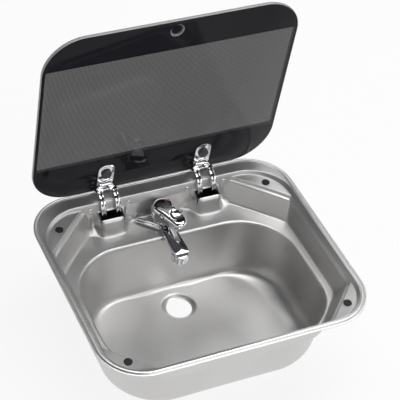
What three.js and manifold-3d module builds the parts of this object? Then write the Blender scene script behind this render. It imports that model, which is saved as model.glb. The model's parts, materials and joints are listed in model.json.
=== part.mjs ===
// Built-in caravan sink: a pressed steel bowl, a hinged glass lid that lies flush in the rim,
// two goose-neck hinges and a low single-lever tap that fits under the closed lid.
// Millimetres. X is to the right, Y to the rear (hinge side), Z up.
// The origin is the middle of the rim, on the worktop that carries it.
import * as THREE from 'three';
import { mergeVertices } from 'three/addons/utils/BufferGeometryUtils.js';
import Module from 'manifold-3d';

const wasm = await Module();
wasm.setup();

// ---- Clearances ----
const fit = 0.3; // between pieces that touch
const play = 0.3; // round a pin or a shank

// ---- Basin ----
const rimWidth = 420;
const rimDepth = 370;
const rimCorner = 70.7;
const sheet = 0.8;
const rimCrest = 3.3; // top of the rolled rim
const flangeHeight = 2.4; // flat rear flange and recess edge
const rearFlange = 28; // rim edge to recess edge at the rear
const frontFlange = 10; // the same at the front and sides
const shelfDepth = 3.4; // corner shelves that carry the lid pads
const shelfCutRear = 116.7; // how far the rear shelves' inner edges cut the rim's corners, along X plus Y
const shelfCutFront = 89.6;
const deckDepth = 42; // tap deck and bowl lip
const deckCutRear = 142.5;
const deckCutFront = 115.6;
const ledgeSide = 33.5; // rim edge to bowl lip
const ledgeFront = 30.3;
const deckRoom = 84.5; // the same at the rear, where the tap stands
const bowlCorner = 90;
const bowlDepth = 140.5;
const bowlTaperSide = 5.2; // how far each wall leans in down to the floor
const bowlTaperFront = 10.5;
const bowlTaperRear = 10.9;
const floorFillet = 37.5;
const floorFilletRear = 14;
const drainSetback = 59.5; // bowl lip at the rear to the drain's middle
const drainHole = 40; // diameter
const drainDimple = 54;
const drainDrop = 5;
const cornerSteps = 6;

// ---- Hinge bosses and housings ----
const hingeX = 79.6;
const bossHalf = 19.9; // half width of the boss top
const bossTop = 10.2; // where the boss leaves the rear wall
const bossEdge = 19; // front edge of its sloping top
const bossReach = 19.2; // how far that edge stands out from the rear wall
const bossFoot = 26.5; // the same at the deck
const slotWidth = 38.6;
const slotDepth = 12.8;
const slotSetback = 2.3; // rear wall to the slot
const slotCorner = 3.5;
const pivotInset = 14.5; // rim's rear edge to the hinge pin
const pivotZ = -13.2;
const armInner = 23.4;
const armOuter = 28;
const armWidth = 8;
const armSpacing = 23.5; // between the two arms' middles
const crossbarWidth = 35;
const armTop = 72; // degrees from the rear, over the top
const crossbarEnd = 100;
const armEnd = 194;
const pinRadius = 2.5;
const hubRadius = 5.5;
const spokeThick = 4;
const spokeLag = 5.7; // degrees back from the arm's end
const housingWall = 1.3;
const housingSide = 19.6; // half width, outside
const housingInset = 6; // rim's rear edge to the housing
const housingBottom = -46;
const housingTop = 0.9;
const earReach = 33;
const rivetOffset = 30.8;
const rivetRadius = 2;
const rivetHead = 3.65;
const rivetZ = -7.2;

// ---- Lid ----
const lidGap = 3.5; // recess edge to the glass, all round
const lidThick = 5;
const lidCornerHinge = 64;
const lidCornerFree = 61;
const lidChamfer = 0.8;
const lidInset = 5; // rim's rear edge to the foot of the open lid's front face
const lidZ = 5.4;
const lidLean = 6.4; // degrees forward of upright when open
const fingerHole = 19;
const fingerHoleDown = 18; // lid's free edge to the hole's middle
const padRadius = 6.25;
const padTop = -2;
const padThick = 1;
const padInsetRear = [39.7, 60.5]; // rim's side and end edges to the pad's middle
const padInsetFront = [39.4, 38];
const tongueHalf = 12.8;
const tongueThick = 2;
const tongueBottom = 5.2;
const tongueTop = 55;
const tongueRound = 10;
const shoulderThick = 5;
const shoulderTop = 17;
const shoulderNarrow = 25;
const windowWidth = 13;
const windowHeight = 7;
const windowUp = 8.6;
const knobUp = 37.7;
const knobRadius = 8;
const knobThick = 4;
const knobRecess = 5;
const screwRadius = 2.4;
const bushRadius = 5.7;
const capRadius = 8.5;

// ---- Tap ----
const tapInset = 55; // rim's rear edge to the tap's middle
const ballRadius = 16;
const ballUp = 18; // over the deck, as the tap's other heights are
const ballBore = 10;
const columnRadius = 15;
const columnUp = 7.5;
const gasketThick = 0.8;
const gasketRadius = 14.6;
const tapHole = 12;
const shankRadius = 10.5;
const shankDown = 32;
const washerRadius = 18.5;
const nutRadius = 17;
const inletLength = 22;
const wingRoot = [7, -15]; // from the tap's middle
const wingTip = [37.5, 15.5];
const wingHeight = 7;
const spoutStart = 12; // in front of the tap's middle
const spoutReach = 71;
const spoutHalf = 11;
const spoutHeadRadius = 12.6;
const spoutLowUp = 0.8;
const spoutTopUp = 12;
const spoutFall = 2; // drop of the ridge from the ball to the head
const noseFall = 3.2; // further drop of the head's round edge
const nozzleRadius = 13;
const nozzleWall = 2.6;
const nozzleLength = 14.8;
const flutes = 12;
const capDomeRadius = 19;
const capUp = 38.8;
const skirtUp = 17.7;
const leverAim = 20; // degrees to the right of straight forward
const leverReach = 47.5;
const leverTipRadius = 12.5;
const tipUp = 30;
const tipThick = 6.5;
const dishOut = 32.5;
const dishRadius = 11;
const dishDepth = 3.4;
const pitUp = 30;
const pitOut = 20.2; // from the ball's middle
const dotRadius = 1.5;
const redMark = [6.2, 2.8]; // right of the lever's middle line, behind the ball's centre
const blueMark = [10.5, 1.3];

const degrees = Math.PI / 180;

// ---- Places that follow from the sizes above ----
const halfWidth = rimWidth / 2;
const halfDepth = rimDepth / 2;
const wallLean = 5.5; // the rear wall's lean, from the recess edge down to the boss tops
const rearWall = halfDepth - rearFlange - wallLean;
const cornerSum = halfWidth + halfDepth;
const shelfChordRear = cornerSum - shelfCutRear; // |x| + |y| along a shelf's inner edge
const shelfChordFront = cornerSum - shelfCutFront;
const deckChordRear = cornerSum - deckCutRear;
const deckChordFront = cornerSum - deckCutFront;
const bowlHalf = halfWidth - ledgeSide;
const bowlFront = ledgeFront - halfDepth;
const bowlRear = halfDepth - deckRoom;
const drainY = bowlRear - drainSetback;
const slotRear = rearWall - slotSetback;
const slotFront = slotRear - slotDepth;
const pivotY = halfDepth - pivotInset;
const housingRear = halfDepth - housingInset;
const lidWidth = rimWidth - 2 * (frontFlange + lidGap);
const lidDepth = rimDepth - frontFlange - rearFlange - 2 * lidGap;
const lidY = halfDepth - lidInset;
const fingerHoleUp = lidDepth - fingerHoleDown;
const tapY = halfDepth - tapInset;
const ballZ = ballUp - deckDepth;
const columnTop = columnUp - deckDepth;
const shankEnd = -deckDepth - shankDown;
const spoutBottom = spoutLowUp - deckDepth;
const spoutTop = spoutTopUp - deckDepth;
const nozzleTop = spoutBottom - 1;
const nozzleBottom = nozzleTop - nozzleLength;
const mouthRadius = nozzleRadius - nozzleWall;
const capTop = capUp - deckDepth;
const capSkirt = skirtUp - deckDepth;
const leverTipTop = tipUp - deckDepth;
const leverTipBottom = leverTipTop - tipThick;

// ---- Materials ----
function paint(color, roughness, metalness) {
  return new THREE.MeshStandardMaterial({ color, roughness, metalness });
}
const steel = paint(0xb9b8b5, 0.25, 1);
const chrome = paint(0xe4e5e8, 0.06, 1);
const zinc = paint(0x9c9d9f, 0.45, 1);
const brass = paint(0xb08d4f, 0.35, 1);
const blackPlastic = paint(0x161618, 0.45, 0);
const rubber = paint(0x101011, 0.8, 0);
const tintedGlass = paint(0x5c5e61, 0.05, 0);
tintedGlass.transparent = true;
tintedGlass.opacity = 0.6;
const redPaint = paint(0xb02030, 0.4, 0);
const bluePaint = paint(0x2a55b8, 0.4, 0);

// ---- Solids: joining and cutting ----
function signedVolume(positions, triangles) {
  const corners = [new THREE.Vector3(), new THREE.Vector3(), new THREE.Vector3()];
  let volume = 0;
  for (let t = 0; t < triangles.length; t += 3) {
    corners.forEach((corner, k) => corner.fromArray(positions, 3 * triangles[t + k]));
    volume += corners[0].dot(corners[1].cross(corners[2]));
  }
  return volume;
}

function toSolid(geometry) {
  const bare = geometry.clone();
  bare.deleteAttribute('normal');
  bare.deleteAttribute('uv');
  const merged = mergeVertices(bare, 1e-4);
  const positions = new Float32Array(merged.attributes.position.array);
  const triangles = new Uint32Array(merged.index.array);
  if (signedVolume(positions, triangles) < 0) {
    for (let t = 0; t < triangles.length; t += 3) {
      [triangles[t], triangles[t + 1]] = [triangles[t + 1], triangles[t]];
    }
  }
  return new wasm.Manifold(new wasm.Mesh({ numProp: 3, vertProperties: positions, triVerts: triangles }));
}

function join(...solids) {
  return solids.reduce((whole, solid) => whole.add(solid));
}

function cut(solid, ...tools) {
  return tools.reduce((rest, tool) => rest.subtract(tool), solid);
}

function toMesh(name, solid, material) {
  const { vertProperties, triVerts } = solid.getMesh();
  const geometry = new THREE.BufferGeometry();
  geometry.setAttribute('position', new THREE.Float32BufferAttribute(vertProperties, 3));
  geometry.setIndex(new THREE.Uint32BufferAttribute(triVerts, 1));
  const flat = geometry.toNonIndexed();
  flat.computeVertexNormals();
  const mesh = new THREE.Mesh(flat, material);
  mesh.name = name;
  return mesh;
}

// ---- Shapes ----
function arcPoints(x, y, radius, from, to, steps) {
  const points = [];
  for (let k = 0; k <= steps; k += 1) {
    const angle = (from + ((to - from) * k) / steps) * degrees;
    points.push(new THREE.Vector2(x + radius * Math.cos(angle), y + radius * Math.sin(angle)));
  }
  return points;
}

function roundedShape(half, low, high, lowCorner, highCorner, steps) {
  const points = [
    ...arcPoints(half - lowCorner, low + lowCorner, lowCorner, -90, 0, steps),
    ...arcPoints(half - highCorner, high - highCorner, highCorner, 0, 90, steps),
    ...arcPoints(highCorner - half, high - highCorner, highCorner, 90, 180, steps),
    ...arcPoints(lowCorner - half, low + lowCorner, lowCorner, 180, 270, steps),
  ];
  return new THREE.Shape(points);
}

function prism(shape, low, high) {
  const geometry = new THREE.ExtrudeGeometry(shape, { depth: high - low, bevelEnabled: false });
  return geometry.translate(0, 0, low);
}

// A shape drawn in Y and Z, pushed along X.
function prismAlongX(shape, from, to) {
  const turn = new THREE.Matrix4().makeBasis(
    new THREE.Vector3(0, 1, 0),
    new THREE.Vector3(0, 0, 1),
    new THREE.Vector3(1, 0, 0),
  );
  return prism(shape, from, to).applyMatrix4(turn);
}

// A profile of [radius, height] pairs turned about Z.
function turned(profile, segments = 32) {
  const points = profile.map(([radius, height]) => new THREE.Vector2(radius, height));
  return new THREE.LatheGeometry([...points, points[0].clone()], segments).rotateX(Math.PI / 2);
}

function disc(radius, low, high, segments = 24) {
  return turned([[0, low], [radius, low], [radius, high], [0, high]], segments);
}

function washer(inner, outer, low, high, segments = 24) {
  return turned([[inner, low], [outer, low], [outer, high], [inner, high]], segments);
}

// Rings of points, one above the other, closed at both ends.
function loft(rings) {
  const count = rings[0].length;
  const positions = rings.flat().flatMap((point) => [point.x, point.y, point.z]);
  const triangles = [];
  for (let r = 0; r + 1 < rings.length; r += 1) {
    for (let i = 0; i < count; i += 1) {
      const j = (i + 1) % count;
      const low = r * count;
      const high = low + count;
      triangles.push(low + i, low + j, high + j, low + i, high + j, high + i);
    }
  }
  for (const end of [0, rings.length - 1]) {
    const middle = new THREE.Vector3();
    rings[end].forEach((point) => middle.addScaledVector(point, 1 / count));
    const centre = positions.length / 3;
    positions.push(middle.x, middle.y, middle.z);
    for (let i = 0; i < count; i += 1) {
      const here = end * count + i;
      const next = end * count + ((i + 1) % count);
      triangles.push(...(end === 0 ? [centre, next, here] : [centre, here, next]));
    }
  }
  const geometry = new THREE.BufferGeometry();
  geometry.setAttribute('position', new THREE.Float32BufferAttribute(positions, 3));
  geometry.setIndex(triangles);
  return geometry;
}

function smooth(share) {
  const t = THREE.MathUtils.clamp(share, 0, 1);
  return t * t * (3 - 2 * t);
}

// ---- Basin: rings from the rim's edge down to the drain ----
const bossOuter = hingeX + bossHalf;
const bossInner = hingeX - bossHalf;
const widestStation = bossOuter + 10.5;

// Where the rear line is divided, so that the bosses get edges of their own.
function rearStations(tipX) {
  const reach = Math.max(tipX, widestStation);
  const start = bossOuter + 2.8;
  const outer = [0.7, 0.4, 0.15].map((share) => start + share * (reach - start));
  const inner = [2.8, 8, 14, 20].map((away) => bossInner - away);
  return [...outer, start, bossOuter, bossInner, ...inner].map((x) => (x * tipX) / reach);
}

function bossShare(x, spreadOut, spreadIn) {
  const away = Math.abs(x);
  if (away > bossOuter) return 1 - smooth((away - bossOuter) / spreadOut);
  if (away < bossInner) return 1 - smooth((bossInner - away) / spreadIn);
  return 1;
}

// A corner from one straight side to the next: an arc, or a nearly straight chord.
function cornerCurve(start, corner, end, weight) {
  const points = [];
  for (let k = 0; k <= cornerSteps; k += 1) {
    const t = k / cornerSteps;
    const a = (1 - t) ** 2;
    const b = 2 * weight * t * (1 - t);
    const c = t ** 2;
    const x = (a * start.x + b * corner.x + c * end.x) / (a + b + c);
    const y = (a * start.y + b * corner.y + c * end.y) / (a + b + c);
    points.push(new THREE.Vector2(x, y));
  }
  return points;
}

function cornerEnds(half, line, { radius, chord, tipX, tipY }) {
  const outward = Math.sign(line);
  const across = chord === undefined ? half - radius : (tipX ?? chord - Math.abs(line));
  const along = chord === undefined ? line - outward * radius : outward * (chord - half);
  return {
    onLine: new THREE.Vector2(across, tipY ?? line),
    onSide: new THREE.Vector2(half, along),
    corner: new THREE.Vector2(half, line),
    weight: chord === undefined ? Math.SQRT1_2 : 0.03,
  };
}

function outline({ half, front, rear, frontCorner, rearCorner, boss }) {
  const ahead = cornerEnds(half, front, frontCorner);
  const behind = cornerEnds(half, rear, rearCorner);
  const right = [
    new THREE.Vector2(0, front),
    ...cornerCurve(ahead.onLine, ahead.corner, ahead.onSide, ahead.weight),
    new THREE.Vector2(half, 0),
    ...cornerCurve(behind.onSide, behind.corner, behind.onLine, behind.weight),
  ];
  for (const x of rearStations(behind.onLine.x)) {
    const bump = boss ? boss.reach * bossShare(x, boss.spreadOut, boss.spreadIn) : 0;
    const limit = rearCorner.chord === undefined ? rear : rearCorner.chord - x;
    right.push(new THREE.Vector2(x, Math.min(rear - bump, limit)));
  }
  right.push(new THREE.Vector2(0, rear));
  const left = right.slice(1, -1).reverse();
  return [...right, ...left.map((point) => new THREE.Vector2(-point.x, point.y))];
}

function ringRow(side, front, rear, z, frontCorner, rearCorner, boss) {
  const points = outline({
    half: halfWidth - side,
    front: front - halfDepth,
    rear: halfDepth - rear,
    frontCorner,
    rearCorner,
    boss,
  });
  return points.map((point) => new THREE.Vector3(point.x, point.y, z));
}

function rimRows() {
  const round = (inset) => ({ radius: rimCorner - inset });
  const recessFront = { radius: 59.5 };
  const recessRear = { radius: 67.3 };
  return [
    ringRow(0, 0, 0, sheet, round(0), round(0)),
    ringRow(2.4, 2.4, 2.4, sheet, round(2.4), round(2.4)),
    ringRow(4.4, 4.4, 4.4, rimCrest - 0.3, round(4.4), round(4.4)),
    ringRow(6.5, 6.5, 6.5, rimCrest, round(6.5), round(6.5)),
    ringRow(frontFlange - 1, frontFlange - 1, 8, flangeHeight + 0.1, { radius: 62 }, round(8)),
    ringRow(frontFlange, frontFlange, rearFlange, flangeHeight, recessFront, recessRear),
    ringRow(frontFlange + 0.8, frontFlange + 0.8, rearFlange + 1.2, flangeHeight - 0.8,
      { radius: 59 }, { radius: 66.6 }),
    ringRow(frontFlange + 4.4, frontFlange + 3.6, rearFlange + 3.5, 0.2 - shelfDepth,
      { radius: 56.5 }, { radius: 64 }),
    ringRow(frontFlange + 4.7, frontFlange + 3.9, rearFlange + 3.7, -0.2 - shelfDepth,
      { chord: shelfChordFront }, { chord: shelfChordRear }),
    ringRow(frontFlange + 7.9, frontFlange + 6.4, rearFlange + 5, 1.6 - bossTop,
      { chord: shelfChordFront - 2 }, { chord: shelfChordRear - 2 }),
    ringRow(frontFlange + 8.4, frontFlange + 6.7, rearFlange + wallLean, -bossTop,
      { chord: shelfChordFront - 7.8 }, { chord: shelfChordRear - 7.8 }),
  ];
}

// Below the boss tops the walls lean in a little and the bosses stand out of the rear one.
function wallRows() {
  const levels = [bossEdge, bossEdge + 2, deckDepth - 6, deckDepth];
  return levels.map((depth) => {
    const down = (depth - bossTop) / (deckDepth - bossTop);
    const face = Math.max(0, (depth - bossEdge) / (deckDepth - bossEdge));
    const blend = (from, to) => from + (to - from) * down;
    const rear = blend(rearFlange + wallLean, rearFlange + wallLean + 1);
    const chordRear = blend(shelfChordRear - 7.8, deckChordRear);
    const spreadOut = 7 + 34 * face;
    const boss = {
      reach: bossReach + (bossFoot - bossReach) * face,
      spreadOut,
      spreadIn: 7 + 13 * face,
    };
    const plainTip = chordRear - (halfDepth - rear);
    const tipX = face > 0.5 ? bossOuter + 17.5 : plainTip;
    const tipY = face > 0.5 ? chordRear - tipX : halfDepth - rear;
    return ringRow(blend(18.4, 23.5), blend(16.7, 22), rear, -depth,
      { chord: blend(shelfChordFront - 7.8, deckChordFront) },
      { chord: chordRear, tipX, tipY }, boss);
  });
}

function bowlOutline(inset, down) {
  return outline({
    half: bowlHalf - inset - bowlTaperSide * down,
    front: bowlFront + inset + bowlTaperFront * down,
    rear: bowlRear - inset - bowlTaperRear * down,
    frontCorner: { radius: bowlCorner - inset },
    rearCorner: { radius: bowlCorner - inset },
  });
}

function bowlRows() {
  const lip = [[0, 0], [2.6, 1.1], [4.5, 6.5]];
  const rows = lip.map(([inset, drop]) => {
    const points = bowlOutline(inset, 0);
    return points.map((point) => new THREE.Vector3(point.x, point.y, -deckDepth - drop));
  });
  const [lastInset, lastDrop] = lip[lip.length - 1];
  const wallTop = bowlOutline(lastInset, 0);
  const wallFoot = bowlOutline(lastInset, 1);
  const wallHeight = bowlDepth - deckDepth - lastDrop;
  const count = wallFoot.length;
  for (const turn of [0, 45, 90]) {
    const row = wallFoot.map((foot, i) => {
      const before = wallFoot[(i + count - 1) % count];
      const after = wallFoot[(i + 1) % count];
      const inward = new THREE.Vector2(before.y - after.y, after.x - before.x).normalize();
      const rearward = Math.max(0, -inward.y) ** 2;
      const length = THREE.MathUtils.lerp(floorFillet, floorFilletRear, rearward);
      const height = length * (1 - Math.sin(turn * degrees));
      const point = foot.clone().lerp(wallTop[i], height / wallHeight);
      point.addScaledVector(inward, length * (1 - Math.cos(turn * degrees)));
      return new THREE.Vector3(point.x, point.y, height - bowlDepth);
    });
    rows.push(row);
  }
  return rows;
}

function drainRows(floorRow) {
  const steps = [
    [drainDimple / 2, 0.4],
    [drainDimple / 2 - 5, drainDrop - 1],
    [drainHole / 2, drainDrop],
  ];
  return steps.map(([radius, drop]) => floorRow.map((point) => {
    const angle = Math.atan2(point.y - drainY, point.x);
    const y = drainY + radius * Math.sin(angle);
    return new THREE.Vector3(radius * Math.cos(angle), y, -bowlDepth - drop);
  }));
}

// The underside lies one sheet thickness behind the face, square to it.
function undersideOf(rows) {
  const count = rows[0].length;
  function faceNormal(r, i) {
    if (r < 0 || r + 1 >= rows.length) return null;
    const j = (i + 1) % count;
    const down = rows[r + 1][j].clone().sub(rows[r][i]);
    const across = rows[r + 1][i].clone().sub(rows[r][j]);
    return down.cross(across).normalize();
  }
  return rows.map((row, r) => row.map((point, i) => {
    const before = (i + count - 1) % count;
    const faces = [r, r - 1].flatMap((k) => [faceNormal(k, i), faceNormal(k, before)]);
    const around = faces.filter((face) => face !== null);
    const normal = new THREE.Vector3();
    around.forEach((face) => normal.add(face));
    normal.normalize();
    const facing = around.reduce((sum, face) => sum + face.dot(normal), 0) / around.length;
    const depth = sheet / Math.max(facing, 0.7);
    const upward = Math.sign(normal.z) || 1;
    const under = point.clone().addScaledVector(normal, -depth * upward);
    if (r < 2) under.z = 0;
    return under;
  }));
}

function shell(rows) {
  const rings = [...rows, ...undersideOf(rows).reverse()];
  const count = rings[0].length;
  const positions = rings.flat().flatMap((point) => [point.x, point.y, point.z]);
  const triangles = [];
  for (let r = 0; r < rings.length; r += 1) {
    const low = r * count;
    const high = ((r + 1) % rings.length) * count;
    for (let i = 0; i < count; i += 1) {
      const j = (i + 1) % count;
      triangles.push(low + i, low + j, high + j, low + i, high + j, high + i);
    }
  }
  const geometry = new THREE.BufferGeometry();
  geometry.setAttribute('position', new THREE.Float32BufferAttribute(positions, 3));
  geometry.setIndex(triangles);
  return geometry;
}

const sides = [['left', -1], ['right', 1]];
const wallRun = wallLean - 3.7; // lean between the shelves and the boss tops
const rivetY = rearWall + ((bossTop + rivetZ) * wallRun) / (bossTop - shelfDepth);
const rivetTilt = Math.atan2(wallRun, bossTop - shelfDepth);

// A geometry along Z is turned to stand on the rear wall, facing the user.
function ontoRearWall(geometry, x) {
  return geometry.rotateX(Math.PI / 2 - rivetTilt).translate(x, rivetY, rivetZ);
}

function makeBasin() {
  const upper = [...rimRows(), ...wallRows()];
  const bowl = bowlRows();
  const rows = [...upper, ...bowl, ...drainRows(bowl[bowl.length - 1])];
  const tools = [toSolid(disc(tapHole, -deckDepth - 5, -deckDepth + 5).translate(0, tapY, 0))];
  for (const [, side] of sides) {
    const slot = roundedShape(slotWidth / 2, slotFront, slotRear, slotCorner, slotCorner, 3);
    tools.push(toSolid(prism(slot, -bossEdge - 6, -bossTop + 4).translate(side * hingeX, 0, 0)));
    for (const offset of [-rivetOffset, rivetOffset]) {
      const hole = disc(rivetRadius + play, -4, 4, 10);
      tools.push(toSolid(ontoRearWall(hole, side * hingeX + offset)));
    }
  }
  return toMesh('sink_pan', cut(toSolid(shell(rows)), ...tools), steel);
}

function makePads() {
  const places = [
    ['rear', halfWidth - padInsetRear[0], halfDepth - padInsetRear[1]],
    ['front', halfWidth - padInsetFront[0], padInsetFront[1] - halfDepth],
  ];
  return sides.flatMap(([word, side]) => places.map(([end, x, y]) => {
    const pad = toSolid(disc(padRadius, padTop - padThick, padTop, 18));
    const mesh = toMesh(`lid_pad_${end}_${word}`, pad, rubber);
    mesh.position.set(side * x, y, 0);
    return mesh;
  }));
}

// ---- Hinge housings, pins and rivets, drawn about the pivot ----
function pivotShape(points) {
  return new THREE.Shape(points.map(([y, z]) => new THREE.Vector2(y - pivotY, z - pivotZ)));
}

function makeHousing() {
  const wall = housingWall;
  const slope = (bossEdge - bossTop) / bossReach;
  const under = sheet + 0.5;
  const roofAt = (y) => -bossTop - (rearWall - y) * slope - under;
  const front = slotFront - fit - wall + 0.5;
  const outer = pivotShape([
    [front, housingBottom], [housingRear, housingBottom], [housingRear, housingTop],
    [rearWall + 7, housingTop], [rearWall + 3.6, 0.1 - shelfDepth], [rearWall + 1.6, -bossTop - 0.4],
    [rearWall - 0.5, roofAt(rearWall - 0.5)], [front, roofAt(front)],
  ]);
  const mouth = slotRear + fit;
  const inner = pivotShape([
    [front + wall, housingBottom + wall], [housingRear - wall, housingBottom + wall],
    [housingRear - wall, housingTop - wall], [rearWall + 8, housingTop - wall],
    [rearWall + 5.4, -shelfDepth - 1], [rearWall + 3.2, -bossTop - 2.2],
    [mouth, roofAt(mouth) - 1], [mouth, 0], [front + wall, 0],
  ]);
  const box = toSolid(prismAlongX(outer, -housingSide, housingSide));
  const hollow = toSolid(prismAlongX(inner, wall - housingSide, housingSide - wall));
  const earShape = pivotShape([
    [rearWall + 3.3, -shelfDepth - 0.2], [rearWall + 1.6, -bossTop - 0.4],
    [rearWall + 3.6, -bossTop - 1], [rearWall + 5.3, -shelfDepth - 0.8],
  ]);
  const ears = sides.map(([, side]) => {
    const near = side * (housingSide - wall / 2);
    const far = side * earReach;
    return toSolid(prismAlongX(earShape, Math.min(near, far), Math.max(near, far)));
  });
  const pinHole = disc(pinRadius + play, -housingSide - 1, housingSide + 1, 16).rotateY(Math.PI / 2);
  const rivetHoles = [-rivetOffset, rivetOffset].map((x) => {
    const hole = disc(rivetRadius + play, -12, 4, 10);
    return toSolid(ontoRearWall(hole, x).translate(0, -pivotY, -pivotZ));
  });
  return cut(join(box, ...ears), hollow, toSolid(pinHole), ...rivetHoles);
}

function makeRivet() {
  const wallBack = sheet + 3.4;
  const profile = [
    [0, 1.5], [1.6, 1.4], [2.8, 0.95], [rivetHead, fit], [rivetRadius, fit],
    [rivetRadius, -wallBack - 1], [3.2, -wallBack - 1], [3, -wallBack - 2], [0, -wallBack - 2.2],
  ];
  return turned(profile, 10);
}

// ---- Lid and the half of each hinge that swings with it ----
// Inside the lid's group X is across, Y climbs the glass and Z leaves its front face.
const lidTurn = (90 + lidLean) * degrees;
const lidToPivot = new THREE.Matrix4()
  .makeTranslation(0, lidY - pivotY, lidZ - pivotZ)
  .multiply(new THREE.Matrix4().makeRotationX(lidTurn));

function makeArm() {
  const sector = (from, to, low, high, steps) => new THREE.Shape([
    ...arcPoints(0, 0, high, from, to, steps),
    ...arcPoints(0, 0, low, to, from, steps),
  ]);
  const spokeTip = armInner + 2;
  const spokeCorners = [[0, -1], [spokeTip, -1], [spokeTip, 1], [0, 1]];
  const centre = new THREE.Vector2();
  const spokeShape = new THREE.Shape(spokeCorners.map(([x, edge]) => {
    const point = new THREE.Vector2(x, (edge * spokeThick) / 2);
    return point.rotateAround(centre, (armEnd - spokeLag) * degrees);
  }));
  const parts = [toSolid(prismAlongX(sector(armTop - 12, crossbarEnd, armInner, armOuter, 5),
    -crossbarWidth / 2, crossbarWidth / 2))];
  const grooves = [];
  for (const [, side] of sides) {
    const middle = (side * armSpacing) / 2;
    const low = middle - armWidth / 2;
    const high = middle + armWidth / 2;
    parts.push(toSolid(prismAlongX(sector(armTop, armEnd, armInner, armOuter, 12), low, high)));
    parts.push(toSolid(prismAlongX(spokeShape, low, high)));
    const groove = sector(crossbarEnd + 4, armEnd - 16, armOuter - 1.3, armOuter + 2, 7);
    grooves.push(toSolid(prismAlongX(groove, middle - 1.4, middle + 1.4)));
  }
  const hub = disc(hubRadius, (-armSpacing - armWidth) / 2, (armSpacing + armWidth) / 2, 16);
  parts.push(toSolid(hub.rotateY(Math.PI / 2)));
  const faceZ = fit + tongueThick + fit;
  const shoulder = new THREE.Shape([
    new THREE.Vector2(-crossbarWidth / 2, -4), new THREE.Vector2(crossbarWidth / 2, -4),
    new THREE.Vector2(crossbarWidth / 2, shoulderTop * 0.45),
    ...arcPoints(shoulderNarrow / 2 - 3, shoulderTop - 3, 3, 0, 90, 3),
    ...arcPoints(3 - shoulderNarrow / 2, shoulderTop - 3, 3, 90, 180, 3),
    new THREE.Vector2(-crossbarWidth / 2, shoulderTop * 0.45),
  ]);
  parts.push(toSolid(prism(shoulder, faceZ, faceZ + shoulderThick).applyMatrix4(lidToPivot)));
  const behind = roundedShape(40, -20, 60, 1, 1, 1);
  const glassSide = toSolid(prism(behind, faceZ - 40, faceZ).applyMatrix4(lidToPivot));
  const clearance = disc(armInner, -40, 40, 40).rotateY(Math.PI / 2);
  const upper = cut(join(...parts.slice(0, 1), parts[parts.length - 1]), toSolid(clearance));
  const lower = join(...parts.slice(1, -1));
  const windowShape = new THREE.Shape([
    ...arcPoints(windowWidth / 2 - 2, windowUp + windowHeight / 2 - 3, 2, 0, 90, 3),
    ...arcPoints(2 - windowWidth / 2, windowUp + windowHeight / 2 - 3, 2, 90, 180, 3),
    new THREE.Vector2(-windowWidth / 2, windowUp - windowHeight / 2),
    new THREE.Vector2(windowWidth / 2, windowUp - windowHeight / 2),
  ]);
  const opening = toSolid(prism(windowShape, faceZ - 1, faceZ + 12).applyMatrix4(lidToPivot));
  const bore = disc(pinRadius + play, -crossbarWidth, crossbarWidth, 16).rotateY(Math.PI / 2);
  return cut(join(upper, lower), glassSide, opening, toSolid(bore), ...grooves);
}

function makeTongue() {
  const shape = new THREE.Shape([
    new THREE.Vector2(-tongueHalf, tongueBottom), new THREE.Vector2(tongueHalf, tongueBottom),
    ...arcPoints(tongueHalf - tongueRound, tongueTop - tongueRound, tongueRound, 0, 90, 6),
    ...arcPoints(tongueRound - tongueHalf, tongueTop - tongueRound, tongueRound, 90, 180, 6),
  ]);
  const plate = toSolid(prism(shape, fit, fit + tongueThick));
  return cut(plate, toSolid(disc(screwRadius + play, -2, 6, 20).translate(0, knobUp, 0)));
}

const knobBack = fit + tongueThick + fit;
const screwSeat = knobBack + 2.2;

function makeKnob() {
  const front = knobBack + knobThick;
  const hole = screwRadius + play;
  return turned([
    [hole, knobBack], [knobRadius - 0.6, knobBack], [knobRadius, knobBack + 0.6], [knobRadius, front - 0.8],
    [knobRadius - 0.8, front], [knobRecess, front], [knobRecess, screwSeat], [hole, screwSeat],
  ], 18);
}

const capBack = -lidThick - 1.6;

function makeScrew() {
  const headTop = knobBack + knobThick - 0.4;
  return turned([
    [0, capBack - 2.6], [screwRadius, capBack - 2.6], [screwRadius, screwSeat + fit],
    [knobRecess - 0.5, screwSeat + fit], [knobRecess - 0.7, headTop - 0.2],
    [knobRecess - 1.4, headTop], [0, headTop],
  ], 12);
}

function makeBush() {
  const hole = screwRadius + play;
  return turned([
    [hole, -lidThick - 1.3], [capRadius - 0.8, -lidThick - 1.3], [capRadius - 0.8, -lidThick - fit],
    [bushRadius, -lidThick - fit], [bushRadius, -fit], [hole, -fit],
  ], 16);
}

function makeCap() {
  const hole = screwRadius + play;
  const outer = capBack - 4.6;
  return turned([
    [hole, capBack], [capRadius, capBack], [capRadius, capBack - 1.6], [capRadius - 1.4, capBack - 3.6],
    [capRadius - 4, outer], [0, outer], [0, capBack - 2.6 - fit], [hole, capBack - 2.6 - fit],
  ], 16);
}

function makeGlass() {
  const shape = roundedShape(lidWidth / 2, 0, lidDepth, lidCornerHinge, lidCornerFree, 8);
  const hole = (x, y, radius) => {
    const path = new THREE.Path();
    path.setFromPoints(arcPoints(x, y, radius, 0, 337.5, 15));
    shape.holes.push(path);
  };
  hole(0, fingerHoleUp, fingerHole / 2);
  for (const [, side] of sides) hole(side * hingeX, knobUp, bushRadius + play);
  return new THREE.ExtrudeGeometry(shape, {
    depth: lidThick - 2 * lidChamfer,
    bevelThickness: lidChamfer,
    bevelSize: lidChamfer,
    bevelOffset: -lidChamfer,
    bevelSegments: 1,
  }).translate(0, 0, lidChamfer - lidThick);
}

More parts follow.
